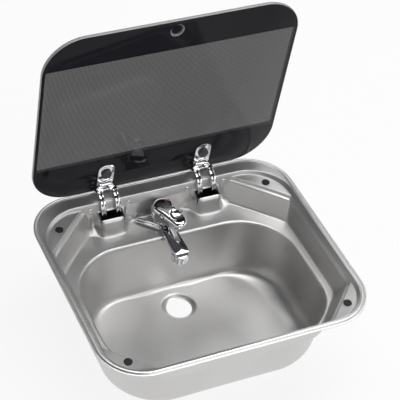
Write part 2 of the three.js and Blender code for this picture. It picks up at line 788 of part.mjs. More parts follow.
function makeLid() {
  const lid = new THREE.Group();
  lid.position.set(0, lidY, lidZ);
  lid.rotation.x = lidTurn;
  lid.add(toMesh('lid_glass', toSolid(makeGlass()), tintedGlass));
  const pieces = [
    ['hinge_knob', makeKnob, blackPlastic],
    ['hinge_screw', makeScrew, chrome],
    ['glass_bush', makeBush, rubber],
    ['hinge_cap', makeCap, blackPlastic],
  ];
  for (const [word, side] of sides) {
    const tongue = toMesh(`hinge_tongue_${word}`, makeTongue(), chrome);
    tongue.position.x = side * hingeX;
    lid.add(tongue);
    for (const [name, make, material] of pieces) {
      const mesh = toMesh(`${name}_${word}`, toSolid(make()), material);
      mesh.position.set(side * hingeX, knobUp, 0);
      lid.add(mesh);
    }
  }
  return lid;
}

function makeHinges() {
  const hinges = new THREE.Group();
  for (const [word, side] of sides) {
    const hinge = new THREE.Group();
    hinge.position.set(side * hingeX, pivotY, pivotZ);
    const pin = disc(pinRadius, -housingSide - 0.6, housingSide + 0.6, 16).rotateY(Math.PI / 2);
    hinge.add(toMesh(`hinge_housing_${word}`, makeHousing(), blackPlastic));
    hinge.add(toMesh(`hinge_pin_${word}`, toSolid(pin), zinc));
    hinge.add(toMesh(`hinge_arm_${word}`, makeArm(), chrome));
    hinges.add(hinge);
    for (const [place, offset] of [['inner', -rivetOffset], ['outer', rivetOffset]]) {
      const rivet = ontoRearWall(makeRivet(), side * (hingeX + offset));
      hinges.add(toMesh(`rivet_${place}_${word}`, toSolid(rivet), steel));
    }
  }
  return hinges;
}

// ---- Tap, drawn about the middle of its hole ----
function makeTapBody() {
  const base = -deckDepth + gasketThick;
  const column = toSolid(disc(columnRadius, base, columnTop, 24));
  const shank = toSolid(disc(shankRadius, shankEnd, base + 1, 16));
  const ballLow = Math.asin((columnTop - 2 - ballZ) / ballRadius) / degrees;
  const shoulderAngle = Math.acos(ballBore / ballRadius) / degrees;
  const arc = arcPoints(0, ballZ, ballRadius, ballLow, shoulderAngle, 7).map((point) => [point.x, point.y]);
  const rimZ = arc[arc.length - 1][1];
  const ball = turned([[0, columnTop - 2], ...arc, [ballBore, ballZ - 6], [0, ballZ - 6]], 24);
  const ballTop = cut(toSolid(ball), toSolid(disc(ballBore - 0.01, ballZ - 6, rimZ + 1, 24)));
  const waterway = toSolid(disc(7, spoutBottom - 3, spoutBottom + 5, 16).translate(0, -spoutReach, 0));
  const gasketRoom = toSolid(disc(gasketRadius + fit, -deckDepth - 1, base));
  const wings = sides.map(([, side]) => cut(toSolid(makeWing(side)), gasketRoom));
  return cut(join(column, shank, ballTop, toSolid(makeSpout()), ...wings), waterway);
}

// The spout in plan, drawn in from its edge by an inset; its top rises to a ridge.
function makeSpout() {
  const rows = [
    [1.4, spoutBottom], [0, spoutBottom + 1.4], [0, spoutTop - 2.8], [0.7, spoutTop - 2], [9.2, spoutTop],
  ];
  const rings = rows.map(([inset, z]) => {
    const head = Math.max(spoutHeadRadius - inset, 0.6);
    const rear = Math.max(spoutHalf - inset, 0.6);
    const plan = [
      new THREE.Vector2(rear, -spoutStart),
      new THREE.Vector2(-rear, -spoutStart),
      ...arcPoints(0, -spoutReach, head, 180, 360, 12),
    ];
    return plan.map((point) => {
      const along = (-spoutStart - point.y) / (spoutReach - spoutStart);
      const nose = smooth((along - 0.8) / 0.35) * (1 - inset / spoutHeadRadius);
      const fall = z > spoutBottom + 2 ? spoutFall * along + noseFall * nose : 0;
      return new THREE.Vector3(point.x, point.y, z - fall);
    });
  });
  return loft(rings);
}

// A low ridge-backed wing from the column out to one side and back.
function makeWing(side) {
  const base = -deckDepth + fit;
  const start = new THREE.Vector2(...wingRoot);
  const end = new THREE.Vector2(...wingTip);
  const along = end.clone().sub(start).normalize();
  const across = new THREE.Vector2(-along.y, along.x);
  const stations = [[0, 4.6, 1], [0.5, 5, 1], [0.88, 5.2, 0.95], [1, 4.2, 0.7]];
  const rings = stations.map(([share, half, height]) => {
    const middle = start.clone().lerp(end, share);
    const section = [[-1, 0], [1, 0], [1, 0.45], [0.5, 0.8], [0, 1], [-0.5, 0.8], [-1, 0.45]];
    return section.map(([w, h]) => {
      const point = middle.clone().addScaledVector(across, w * half);
      return new THREE.Vector3(side * point.x, point.y, base + h * height * wingHeight);
    });
  });
  return loft(rings);
}

function makeNozzle() {
  const ring = (radius, z, depth) => {
    const points = [];
    for (let k = 0; k < flutes * 2; k += 1) {
      const angle = (Math.PI * k) / flutes;
      const r = radius - depth * (k % 2);
      points.push(new THREE.Vector3(r * Math.cos(angle), r * Math.sin(angle), z));
    }
    return points;
  };
  const skirt = loft([
    ring(nozzleRadius - 1.2, nozzleBottom, 0.9), ring(nozzleRadius - 0.4, nozzleBottom + 1.2, 1.2),
    ring(nozzleRadius, nozzleTop - 2, 1), ring(nozzleRadius - 0.7, nozzleTop + 0.6, 0),
  ]);
  const spigot = disc(7 - play, nozzleTop, spoutBottom + 4.5, 16);
  const mouth = disc(mouthRadius, nozzleBottom - 1, nozzleTop - 4, 20);
  return cut(join(toSolid(skirt), toSolid(spigot)), toSolid(mouth));
}

function makeAerator() {
  const body = toSolid(disc(mouthRadius - play, nozzleBottom + 1.6, nozzleTop - 4 - fit, 20));
  const rings = [0.3, 0.6].map((share) => {
    const radius = share * mouthRadius;
    const groove = washer(radius, radius + 1.2, nozzleBottom, nozzleBottom + 2.6, 14);
    return toSolid(groove);
  });
  return cut(body, ...rings);
}

// The cap in plan: a circle over the ball drawn out to a smaller one at the lever's tip.
function leverPlan(inset) {
  const far = leverReach - leverTipRadius;
  const big = capDomeRadius - inset;
  const small = Math.max(leverTipRadius - inset * 0.75, 1.5);
  const lean = Math.asin((big - small) / far) / degrees;
  return [
    ...arcPoints(0, -far, small, 180 + lean, 360 - lean, 9),
    ...arcPoints(0, 0, big, -lean, 180 + lean, 18),
  ];
}

function makeLever() {
  const rows = [[0, 0], [0, 0.4], [0.9, 0.62], [2.6, 0.8], [5.2, 0.92], [9, 0.985], [13, 1]];
  const rings = rows.map(([inset, rise]) => leverPlan(inset).map((point) => {
    const along = Math.max(0, -point.y) / leverReach;
    const top = capTop + (leverTipTop - capTop) * along ** 1.3;
    const low = capSkirt + (leverTipBottom - capSkirt) * smooth((along - 0.35) / 0.5);
    return new THREE.Vector3(point.x, point.y, low + (top - low) * rise);
  }));
  const socket = arcPoints(0, ballZ, ballRadius + 0.6, -60, 90, 7).map((point) => [point.x, point.y]);
  const hollow = toSolid(turned([[0, socket[0][1]], ...socket], 24));
  const stemHole = toSolid(disc(3 + play, ballZ + 10, capTop - 2.2, 14));
  const bowlRadius = (dishRadius ** 2 + dishDepth ** 2) / (2 * dishDepth);
  const dish = new THREE.SphereGeometry(bowlRadius, 20, 14);
  const dishZ = capTop + (leverTipTop - capTop) * (dishOut / leverReach) ** 1.3 - 0.6;
  dish.rotateX(Math.PI / 2).translate(0, -dishOut, dishZ - dishDepth + bowlRadius);
  const pit = new THREE.SphereGeometry(4.4, 10, 6).rotateX(Math.PI / 2);
  pit.applyMatrix4(pitPlace);
  const screwHole = disc(2.3, -5.6, 0, 12).rotateX(Math.PI / 2).applyMatrix4(pitPlace);
  return cut(toSolid(loft(rings)), hollow, stemHole, toSolid(dish), toSolid(pit), toSolid(screwHole));
}

// The screw pit faces forward and to the left of the lever.
const pitPlace = new THREE.Matrix4()
  .makeRotationZ(-49 * degrees)
  .multiply(new THREE.Matrix4().makeTranslation(0, -pitOut, pitUp - deckDepth));

function makeTap() {
  const tap = new THREE.Group();
  tap.position.y = tapY;
  tap.add(toMesh('tap_body', makeTapBody(), chrome));
  const nozzle = toMesh('tap_nozzle', makeNozzle(), chrome);
  const aerator = toMesh('tap_aerator', makeAerator(), blackPlastic);
  nozzle.position.y = -spoutReach;
  aerator.position.y = -spoutReach;
  tap.add(nozzle, aerator);
  const deck = -deckDepth;
  const cartridge = disc(ballBore - play, ballZ - 6 + fit, ballZ - 1, 20);
  const hexagon = new THREE.CylinderGeometry(nutRadius, nutRadius, 6, 6).rotateX(Math.PI / 2);
  const nutHole = toSolid(disc(shankRadius + play, -10, 10, 28));
  const nut = cut(toSolid(hexagon), nutHole).translate(0, 0, deck - sheet - fit - 2 - fit - 3);
  const low = deck - sheet - fit;
  const tip = shankEnd - inletLength;
  tap.add(toMesh('tap_cartridge', toSolid(cartridge), zinc));
  const gasket = washer(shankRadius + play, gasketRadius, deck, deck + gasketThick, 20);
  tap.add(toMesh('tap_gasket', toSolid(gasket), rubber));
  const lowWasher = washer(shankRadius + play, washerRadius, low - 2, low, 20);
  tap.add(toMesh('tap_washer', toSolid(lowWasher), rubber));
  tap.add(toMesh('tap_nut', nut, brass));
  for (const [word, x] of [['hot', -5], ['cold', 5]]) {
    const inlet = turned([
      [0, tip], [2.6, tip], [3.6, tip + 1], [3.6, tip + 7],
      [4, tip + 7], [4, shankEnd - fit], [0, shankEnd - fit],
    ], 14);
    tap.add(toMesh(`tap_inlet_${word}`, toSolid(inlet.translate(x, 0, 0)), brass));
  }
  tap.add(makeHandle());
  return tap;
}

function makeHandle() {
  const handle = new THREE.Group();
  handle.rotation.z = leverAim * degrees;
  const turnDisc = disc(ballBore - 0.8, ballZ - 1 + fit, ballZ + 1.4, 20);
  const stem = disc(3, ballZ + 2 + fit, capTop - 2.2 - fit, 14);
  const screw = disc(2, -5.2, -2.6, 12).rotateX(Math.PI / 2).applyMatrix4(pitPlace);
  handle.add(toMesh('tap_turn_disc', toSolid(turnDisc), zinc));
  handle.add(toMesh('tap_lever', makeLever(), chrome));
  handle.add(toMesh('tap_stem', toSolid(stem), zinc));
  handle.add(toMesh('lever_screw', toSolid(screw), zinc));
  const marks = [['indicator_red', redMark, redPaint], ['indicator_blue', blueMark, bluePaint]];
  for (const [name, [x, y], material] of marks) {
    const dot = disc(dotRadius, capTop + fit, capTop + fit + 0.5, 16);
    const mesh = toMesh(name, toSolid(dot), material);
    mesh.position.set(x, y, 0);
    handle.add(mesh);
  }
  return handle;
}

const group = new THREE.Group();
group.add(makeBasin(), ...makePads(), makeHinges(), makeLid(), makeTap());
export default group;
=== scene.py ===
import json
import math

import bmesh
import bpy
from mathutils import Matrix, Vector


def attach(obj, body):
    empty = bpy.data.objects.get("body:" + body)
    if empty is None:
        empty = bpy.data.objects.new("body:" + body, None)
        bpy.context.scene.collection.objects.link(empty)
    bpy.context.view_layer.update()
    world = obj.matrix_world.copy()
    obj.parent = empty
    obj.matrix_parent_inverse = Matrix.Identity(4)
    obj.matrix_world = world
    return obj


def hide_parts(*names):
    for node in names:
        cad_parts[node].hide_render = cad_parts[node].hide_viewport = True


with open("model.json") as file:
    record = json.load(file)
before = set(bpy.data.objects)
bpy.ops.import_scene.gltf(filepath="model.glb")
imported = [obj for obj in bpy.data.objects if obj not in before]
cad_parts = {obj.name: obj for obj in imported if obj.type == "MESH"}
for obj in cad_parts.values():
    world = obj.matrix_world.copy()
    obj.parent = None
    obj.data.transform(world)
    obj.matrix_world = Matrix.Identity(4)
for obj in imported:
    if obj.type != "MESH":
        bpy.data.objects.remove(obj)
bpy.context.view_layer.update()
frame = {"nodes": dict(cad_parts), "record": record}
print("frame loaded:", len(frame["nodes"]), "nodes")

mm = 0.001
up = Vector((0, 0, 1))


# Helpers for material nodes
def addNode(tree, kind, values=None, links=None):
    made = tree.nodes.new(kind)
    for name, value in (values or {}).items():
        if name in made.inputs:
            made.inputs[name].default_value = value
        else:
            setattr(made, name, value)
    for name, source in (links or {}).items():
        tree.links.new(source, made.inputs[name])
    return made


def addMath(tree, operation, *terms):
    made = tree.nodes.new("ShaderNodeMath")
    made.operation = operation
    for k, term in enumerate(terms):
        if isinstance(term, (int, float)):
            made.inputs[k].default_value = term
        else:
            tree.links.new(term, made.inputs[k])
    return made.outputs[0]


def newMaterial(name, values):
    material = bpy.data.materials.new(name)
    material.use_nodes = True
    shader = material.node_tree.nodes["Principled BSDF"]
    for socket, value in values.items():
        shader.inputs[socket].default_value = value
    return material, material.node_tree, shader


def objectPlace(tree, scale=(1, 1, 1), turn=(0, 0, 0), move=(0, 0, 0)):
    place = addNode(tree, "ShaderNodeTexCoord")
    mapping = addNode(tree, "ShaderNodeMapping", {"vector_type": "TEXTURE"}, {"Vector": place.outputs["Object"]})
    mapping.inputs["Scale"].default_value = scale
    mapping.inputs["Rotation"].default_value = turn
    mapping.inputs["Location"].default_value = move
    return mapping.outputs["Vector"]


def mottle(tree, place, scale, low=0, high=1, detail=3):
    noise = addNode(tree, "ShaderNodeTexNoise", {"Scale": scale, "Detail": detail}, {"Vector": place})
    limits = {"From Min": 0.3, "From Max": 0.7, "To Min": low, "To Max": high}
    return addNode(tree, "ShaderNodeMapRange", limits, {"Value": noise.outputs["Fac"]}).outputs["Result"]


def tint(tree, share, first, second):
    mix = addNode(tree, "ShaderNodeMix", {"data_type": "RGBA"})
    mix.inputs[6].default_value = (*first, 1)
    mix.inputs[7].default_value = (*second, 1)
    tree.links.new(share, mix.inputs[0])
    return mix.outputs[2]


def addRelief(tree, shader, height, depth, strength):
    made = addNode(tree, "ShaderNodeBump", {"Distance": depth, "Strength": strength}, {"Height": height})
    tree.links.new(made.outputs["Normal"], shader.inputs["Normal"])


camera = {
    "target": (54.0, 116.6, 0.0),
    "distance": 2316.1,
    "azimuth": -29.069,
    "elevation": 42.346,
    "roll": 7.49,
    "lens": 136.83,
    "sensor": 36,
    "farClip": 50,  # metres
}


def makeCamera(settings):
    azimuth, elevation, roll = (math.radians(settings[k]) for k in ("azimuth", "elevation", "roll"))
    flat = math.cos(elevation)
    back = Vector((math.sin(azimuth) * flat, -math.cos(azimuth) * flat, math.sin(elevation)))
    right = (-back).cross(up).normalized()
    over = back.cross(right)
    across = right * math.cos(roll) + over * math.sin(roll)
    upward = over * math.cos(roll) - right * math.sin(roll)
    place = Vector(settings["target"]) + back * settings["distance"]
    bpy.ops.object.camera_add(location=place * mm)
    made = bpy.context.object
    made.rotation_mode = "QUATERNION"
    made.rotation_quaternion = Matrix((across, upward, back)).transposed().to_quaternion()
    made.data.sensor_width = settings["sensor"]
    made.data.lens = settings["lens"]
    made.data.clip_end = settings["farClip"]
    bpy.context.scene.camera = made


studio = {
    "horizon": 1.0,  # the pale background, all round
    "ceiling": 0.04,
    "bandEnd": (0.20, 0.34),  # sines of the heights between which the background darkens
    "distance": 2.6,  # of the lamps, in metres
    "lamps": [
        # azimuth from the right, height, width, depth, all in degrees, and brightness
        (90, 84, 34, 34, 3.5),
        (14, 60, 40, 24, 3.8),
        (150, 62, 30, 20, 1.0),
        (68, 9, 44, 13, 3.0),
        (288, 42, 40, 18, 2.8),
        (338, 20, 40, 14, 1.4),
    ],
    "floor": (0.86, 0.86, 0.86),
    "floorGrain": (40, 0.985),  # scale, and the grain's share of the colour
    "floorGlow": 0.86,  # how far the camera, metal and glass see the floor as plain white
    "floorSize": 12,  # metres
    "floorZ": -146.6,
}


def makeFloorPaper(settings):
    material, tree, shader = newMaterial("palePaper", {"Roughness": 0.9, "Specular IOR Level": 0.1})
    scale, darker = settings["floorGrain"]
    grain = mottle(tree, objectPlace(tree), scale)
    color = settings["floor"]
    tree.links.new(tint(tree, grain, color, [c * darker for c in color]), shader.inputs["Base Color"])
    path = addNode(tree, "ShaderNodeLightPath")
    direct = addMath(tree, "MAXIMUM", path.outputs["Is Camera Ray"], path.outputs["Is Glossy Ray"])
    seen = addMath(tree, "MAXIMUM", direct, path.outputs["Is Transmission Ray"])
    glow = addNode(tree, "ShaderNodeEmission", {"Color": (1, 1, 1, 1), "Strength": 1.0})
    blend = addNode(tree, "ShaderNodeMixShader", {}, {0: addMath(tree, "MULTIPLY", seen, settings["floorGlow"])})
    tree.links.new(shader.outputs[0], blend.inputs[1])
    tree.links.new(glow.outputs[0], blend.inputs[2])
    tree.links.new(blend.outputs[0], tree.nodes["Material Output"].inputs["Surface"])
    return material


def makeStudio(settings):
    world = bpy.data.worlds.new("softStudio")
    bpy.context.scene.world = world
    world.use_nodes = True
    tree = world.node_tree
    place = addNode(tree, "ShaderNodeTexCoord")
    split = addNode(tree, "ShaderNodeSeparateXYZ", {}, {"Vector": place.outputs["Generated"]})
    low, high = settings["bandEnd"]
    fade = addNode(tree, "ShaderNodeMapRange", {
        "interpolation_type": "SMOOTHSTEP", "From Min": low, "From Max": high,
        "To Min": settings["horizon"], "To Max": settings["ceiling"],
    }, {"Value": split.outputs["Z"]})
    tree.links.new(fade.outputs["Result"], tree.nodes["Background"].inputs["Strength"])
    tree.nodes["Background"].inputs["Color"].default_value = (1, 1, 1, 1)
    distance = settings["distance"]
    for azimuth, height, width, depth, brightness in settings["lamps"]:
        around, rise = math.radians(azimuth), math.radians(height)
        flat = math.cos(rise)
        toLamp = Vector((math.cos(around) * flat, math.sin(around) * flat, math.sin(rise)))
        bpy.ops.object.light_add(type="AREA", location=toLamp * distance)
        lamp = bpy.context.object
        lamp.data.shape = "RECTANGLE"
        lamp.data.size = 2 * distance * math.tan(math.radians(width / 2))
        lamp.data.size_y = 2 * distance * math.tan(math.radians(depth / 2))
        lamp.data.energy = brightness * math.pi * lamp.data.size * lamp.data.size_y
        lamp.visible_camera = False
        lamp.rotation_mode = "QUATERNION"
        lamp.rotation_quaternion = toLamp.to_track_quat("Z", "Y")
    bpy.ops.mesh.primitive_plane_add(size=settings["floorSize"], location=(0, 0, settings["floorZ"] * mm))
    floor = bpy.context.object
    floor.name = "floor"
    floor.data.materials.append(makeFloorPaper(settings))


# Finishes with one grain: shader values, grain (scale, detail) between two colours, roughness (scale, low, high)
# and relief (depth in metres, strength)
plainLooks = {
    "rivetSteel": {
        "shader": {"Metallic": 1.0}, "grain": (700, 2), "rough": (400, 0.16, 0.24),
        "colors": ((0.84, 0.84, 0.84), (0.90, 0.90, 0.90)),
    },
    "chromePlate": {
        "shader": {"Metallic": 1.0}, "grain": (60, 2), "rough": (220, 0.05, 0.09),
        "colors": ((0.80, 0.805, 0.82), (0.84, 0.845, 0.86)),
    },
    "zincPlate": {
        "shader": {"Metallic": 1.0}, "grain": (500, 3), "rough": (300, 0.38, 0.52), "relief": (0.00005, 0.4),
        "colors": ((0.40, 0.40, 0.41), (0.52, 0.52, 0.53)),
    },
    "mouldedPlastic": {
        "shader": {"Specular IOR Level": 0.45}, "grain": (1400, 3), "rough": (500, 0.30, 0.42),
        "relief": (0.00004, 0.35), "colors": ((0.040, 0.040, 0.044), (0.055, 0.055, 0.059)),
    },
    "blackRubber": {
        "shader": {"Specular IOR Level": 0.3}, "grain": (1800, 3), "rough": (700, 0.60, 0.78),
        "relief": (0.00006, 0.5), "colors": ((0.012, 0.012, 0.013), (0.024, 0.024, 0.025)),
    },
    "redMark": {
        "shader": {"Specular IOR Level": 0.5}, "grain": (1200, 3), "rough": (900, 0.12, 0.22),
        "colors": ((0.42, 0.02, 0.05), (0.50, 0.03, 0.06)),
    },
    "blueMark": {
        "shader": {"Specular IOR Level": 0.5}, "grain": (1200, 3), "rough": (900, 0.12, 0.22),
        "colors": ((0.10, 0.16, 0.50), (0.14, 0.20, 0.58)),
    },
    "groundEdge": {
        "shader": {"Specular IOR Level": 0.5}, "grain": (700, 3), "rough": (500, 0.18, 0.30),
        "colors": ((0.24, 0.25, 0.25), (0.34, 0.35, 0.35)),
    },
}


def makePlain(name):
    look = plainLooks[name]
    material, tree, shader = newMaterial(name, look["shader"])
    place = objectPlace(tree)
    scale, detail = look["grain"]
    grain = mottle(tree, place, scale, detail=detail)
    tree.links.new(tint(tree, grain, *look["colors"]), shader.inputs["Base Color"])
    tree.links.new(mottle(tree, place, *look["rough"]), shader.inputs["Roughness"])
    if "relief" in look:
        addRelief(tree, shader, grain, *look["relief"])
    return material


steelLook = {
    "cloud": 9,  # scale of the slow change in tone
    "colors": ((0.62, 0.615, 0.61), (0.67, 0.665, 0.66)),
    "rough": (14, 0.35, 0.40),
    "fine": 900,  # scale of the fine grain
    "fineRough": 0.04,
    "relief": (0.00002, 0.35),
    "detail": 2,
}


def makeSteel(look):
    material, tree, shader = newMaterial("pressedSteel", {"Metallic": 1.0})
    place = objectPlace(tree)
    cloud = mottle(tree, place, look["cloud"], detail=look["detail"])
    tree.links.new(tint(tree, cloud, *look["colors"]), shader.inputs["Base Color"])
    fine = mottle(tree, place, look["fine"], detail=look["detail"])
    soft = mottle(tree, place, *look["rough"], look["detail"])
    rough = addMath(tree, "ADD", soft, addMath(tree, "MULTIPLY", fine, look["fineRough"]))
    tree.links.new(rough, shader.inputs["Roughness"])
    addRelief(tree, shader, fine, *look["relief"])
    return material


brassLook = {
    "bands": {"bands_direction": "Z", "Scale": 600, "Distortion": 1.5},
    "colors": ((0.58, 0.42, 0.17), (0.66, 0.49, 0.22)),
    "rough": (300, 0.28, 0.42),
    "relief": (0.00003, 0.4),
}


def makeBrass(look):
    material, tree, shader = newMaterial("turnedBrass", {"Metallic": 1.0})
    place = objectPlace(tree)
    bands = addNode(tree, "ShaderNodeTexWave", look["bands"], {"Vector": place}).outputs["Fac"]
    tree.links.new(tint(tree, bands, *look["colors"]), shader.inputs["Base Color"])
    tree.links.new(mottle(tree, place, *look["rough"]), shader.inputs["Roughness"])
    addRelief(tree, shader, bands, *look["relief"])
    return material


# The lid's own frame: x across, y up along the open glass, z out of its front face
lidPlace = {"y": 180.0, "z": 5.4, "lean": 96.4}
lidFrame = Matrix.Translation((0, lidPlace["y"] * mm, lidPlace["z"] * mm))
lidFrame = lidFrame @ Matrix.Rotation(math.radians(lidPlace["lean"]), 4, "X")

lidPrint = {
    "half": 191.5,  # window, from the middle
    "low": 68.9,
    "high": 270.8,
    "corner": 3.0,
    "ink": (0.014, 0.0135, 0.0175),
    "dotPitch": 1.9,
    "dotEdge": (-0.35, 0.45),
    "dotColor": (0.10, 0.10, 0.103),
    "dotShare": 0.17,  # how clear a dot is
    "backDepth": -2.5,  # behind this, the window is as clear as the next value
    "backShare": 0.9,
}


def makePrintedGlass(settings):
    material, tree, shader = newMaterial("printedGlass", {"Roughness": 0.05, "Specular IOR Level": 0.1})
    place = objectPlace(tree, (mm, mm, mm), lidFrame.to_euler(), lidFrame.translation)
    split = addNode(tree, "ShaderNodeSeparateXYZ", {}, {"Vector": place})
    x, y = split.outputs["X"], split.outputs["Y"]
    corner = settings["corner"]
    wave = math.pi / settings["dotPitch"]

    def past(value, half):
        away = addMath(tree, "SUBTRACT", addMath(tree, "ABSOLUTE", value), half - corner)
        return addMath(tree, "MAXIMUM", away, 0)

    def stripes(operation):
        return addMath(tree, "COSINE", addMath(tree, "MULTIPLY", addMath(tree, operation, x, y), wave))

    middle = (settings["low"] + settings["high"]) / 2
    overX = past(x, settings["half"])
    overY = past(addMath(tree, "SUBTRACT", y, middle), (settings["high"] - settings["low"]) / 2)
    squares = [addMath(tree, "MULTIPLY", over, over) for over in (overX, overY)]
    inside = addMath(tree, "LESS_THAN", addMath(tree, "SQRT", addMath(tree, "ADD", *squares)), corner)
    low, high = settings["dotEdge"]
    dots = addMath(tree, "MULTIPLY", stripes("ADD"), stripes("SUBTRACT"))
    spread = addNode(tree, "ShaderNodeMapRange", {"From Min": low, "From Max": high}, {"Value": dots})
    dot = spread.outputs["Result"]
    through = addMath(tree, "MULTIPLY", dot, settings["dotShare"])
    behind = addMath(tree, "LESS_THAN", split.outputs["Z"], settings["backDepth"])
    share = addMath(tree, "MAXIMUM", through, addMath(tree, "MULTIPLY", behind, settings["backShare"]))
    hole = addMath(tree, "MULTIPLY", inside, share)
    tree.links.new(addMath(tree, "SUBTRACT", 1, hole), shader.inputs["Alpha"])
    grey = addMath(tree, "MULTIPLY", inside, dot)
    tree.links.new(tint(tree, grey, settings["ink"], settings["dotColor"]), shader.inputs["Base Color"])
    return material


# The finish of each of the record's slots, and two that only pieces of this file have
finishes = {
    "steel_pressed": makeSteel(steelLook),
    "chrome_plated": makePlain("chromePlate"),
    "zinc_metal": makePlain("zincPlate"),
    "brass_metal": makeBrass(brassLook),
    "black_plastic": makePlain("mouldedPlastic"),
    "black_rubber": makePlain("blackRubber"),
    "red_mark": makePlain("redMark"),
    "blue_mark": makePlain("blueMark"),
    "tinted_glass": makePrintedGlass(lidPrint),
}
rivetSteel = makePlain("rivetSteel")
edgeGlass = makePlain("groundEdge")
slots = {row["node"]: row["material_slot"] for row in frame["record"]["subparts"]}
for name, node in frame["nodes"].items():
    node.data.materials.clear()
    node.data.materials.append(finishes[slots[name]])

bpy.context.scene.view_settings.view_transform = "Standard"
makeCamera(camera)
makeStudio(studio)
print("camera, floor, lights and materials ready")


# Helpers for modelling: sizes are in millimetres, and meshes are made in metres
def pickOnly(piece):
    bpy.ops.object.select_all(action="DESELECT")
    bpy.context.view_layer.objects.active = piece
    piece.select_set(True)


def startEdit(piece, action="SELECT"):
    pickOnly(piece)
    bpy.ops.object.mode_set(mode="EDIT")
    bpy.ops.mesh.select_all(action=action)


def endEdit():
    bpy.ops.object.mode_set(mode="OBJECT")


def applyModifier(piece, kind, **settings):
    pickOnly(piece)
    added = piece.modifiers.new(kind.title(), kind)
    for name, value in settings.items():
        setattr(added, name, value)
    bpy.ops.object.modifier_apply(modifier=added.name)


def breakEdges(piece, width, segments, sharper):
    applyModifier(
        piece, "BEVEL", width=width * mm, segments=segments, limit_method="ANGLE", angle_limit=math.radians(sharper),
    )


def subtract(piece, cutter):
    applyModifier(piece, "BOOLEAN", operation="DIFFERENCE", solver="EXACT", object=cutter)
    bpy.data.objects.remove(cutter)


def unite(piece, other):
    applyModifier(piece, "BOOLEAN", operation="UNION", solver="EXACT", object=other)
    bpy.data.objects.remove(other)


def settle(piece, name, body, nodes, slot, angle):
    pickOnly(piece)
    bpy.ops.object.transform_apply(location=True, rotation=True, scale=True)
    bpy.ops.object.shade_smooth_by_angle(angle=math.radians(angle))
    piece.name = name
    if not piece.data.materials:
        piece.data.materials.append(finishes[slot])
    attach(piece, body)
    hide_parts(*nodes)


def bodyOf(name):
    return next(body for body, members in frame["record"]["behaviour"]["bodies"].items() if name in members)


def inMetres(points):
    return [tuple(c * mm for c in point) for point in points]


def mirrored(line):
    return [(-x, y) for x, y in reversed(line)]


def meshPiece(points, faces):
    mesh = bpy.data.meshes.new("shape")
    mesh.from_pydata([tuple(point) for point in points], [], faces)
    piece = bpy.data.objects.new("shape", mesh)
    bpy.context.scene.collection.objects.link(piece)
    return piece


# Faces between closed rings that have the same number of points
def tubeFaces(levels, count):
    return [
        (k * count + i, (k + 1) * count + i, (k + 1) * count + (i + 1) % count, k * count + (i + 1) % count)
        for k in range(levels - 1)
        for i in range(count)
    ]


def outward(piece):
    startEdit(piece)
    bpy.ops.mesh.remove_doubles(threshold=0.000002)
    bpy.ops.mesh.normals_make_consistent(inside=False)
    endEdit()
    return piece


# A loft through closed rings, both ends filled
def loftPiece(rings):
    count, levels = len(rings[0]), len(rings)
    faces = tubeFaces(levels, count)
    faces += [tuple(range(count)), tuple(range((levels - 1) * count, levels * count))]
    return outward(meshPiece(inMetres(point for ring in rings for point in ring), faces))


# A closed outline of (x, y, z) points swept about an axis along X or Z
def spinPiece(points, degrees, steps, centre, axis):
    piece = meshPiece(inMetres(points), [tuple(range(len(points)))])
    startEdit(piece)
    bpy.ops.mesh.spin(steps=steps, angle=math.radians(degrees), center=[c * mm for c in centre], axis=axis)
    if degrees == 360:  # the first and the last section meet, and both go
        endEdit()
        startEdit(piece)
        bpy.ops.mesh.remove_doubles(threshold=0.00001)
        bpy.ops.mesh.select_all(action="DESELECT")
        bpy.ops.mesh.select_mode(type="FACE")
        net = bmesh.from_edit_mesh(piece.data)
        for face in net.faces:
            face.select_set(len(face.verts) > 4)
        bmesh.update_edit_mesh(piece.data)
        bpy.ops.mesh.delete(type="FACE")
        bpy.ops.mesh.select_mode(type="VERT")
    endEdit()
    return outward(piece)


def turnPiece(profile, steps):
    return spinPiece([(radius, 0, z) for radius, z in profile], 360, steps, (0, 0, 0), (0, 0, 1))


def makeBlock(size, place=(0, 0, 0), turn=0):
    bpy.ops.mesh.primitive_cube_add(size=1, location=[c * mm for c in place], rotation=(0, 0, turn))
    block = bpy.context.object
    block.dimensions = [c * mm for c in size]
    bpy.ops.object.transform_apply(location=False, rotation=False, scale=True)
    return block


def makeRod(radius, low, high, place=(0, 0), segments=48):
    bpy.ops.mesh.primitive_cylinder_add(
        vertices=segments, radius=radius * mm, depth=(high - low) * mm,
        location=(place[0] * mm, place[1] * mm, (low + high) / 2 * mm),
    )
    return bpy.context.object


def crossRod(radius, half, place):
    bpy.ops.mesh.primitive_cylinder_add(
        vertices=48, radius=radius * mm, depth=2 * half * mm,
        location=[c * mm for c in place], rotation=(0, math.pi / 2, 0),
    )
    return bpy.context.object


def makeBall(radius, place, segments, rings):
    bpy.ops.mesh.primitive_uv_sphere_add(
        segments=segments, ring_count=rings, radius=radius * mm, location=[c * mm for c in place],
    )
    return bpy.context.object


def copyTo(piece, matrix):
    made = piece.copy()
    made.data = piece.data.copy()
    made.parent = None
    bpy.context.scene.collection.objects.link(made)
    made.matrix_world = matrix
    return made


def extrudeOutline(outline, low, high, edge):
    plate = meshPiece(inMetres((x, y, low) for x, y in outline), [tuple(range(len(outline)))])
    startEdit(plate)
    bpy.ops.mesh.extrude_region_move(TRANSFORM_OT_translate={"value": (0, 0, (high - low) * mm)})
    endEdit()
    outward(plate)
    if edge:
        breakEdges(plate, edge, 4, 50)
    return plate


def arc(x, y, radius, first, last, steps):
    turns = [math.radians(first + (last - first) * k / steps) for k in range(steps + 1)]
    return [(x + radius * math.cos(t), y + radius * math.sin(t)) for t in turns]


def topCorners(half, high, corner):
    right = arc(half - corner, high - corner, corner, 0, 90, 6)
    return right + arc(corner - half, high - corner, corner, 90, 180, 6)


def ease(share):
    t = min(1.0, max(0.0, share))
    return t * t * (3 - 2 * t)


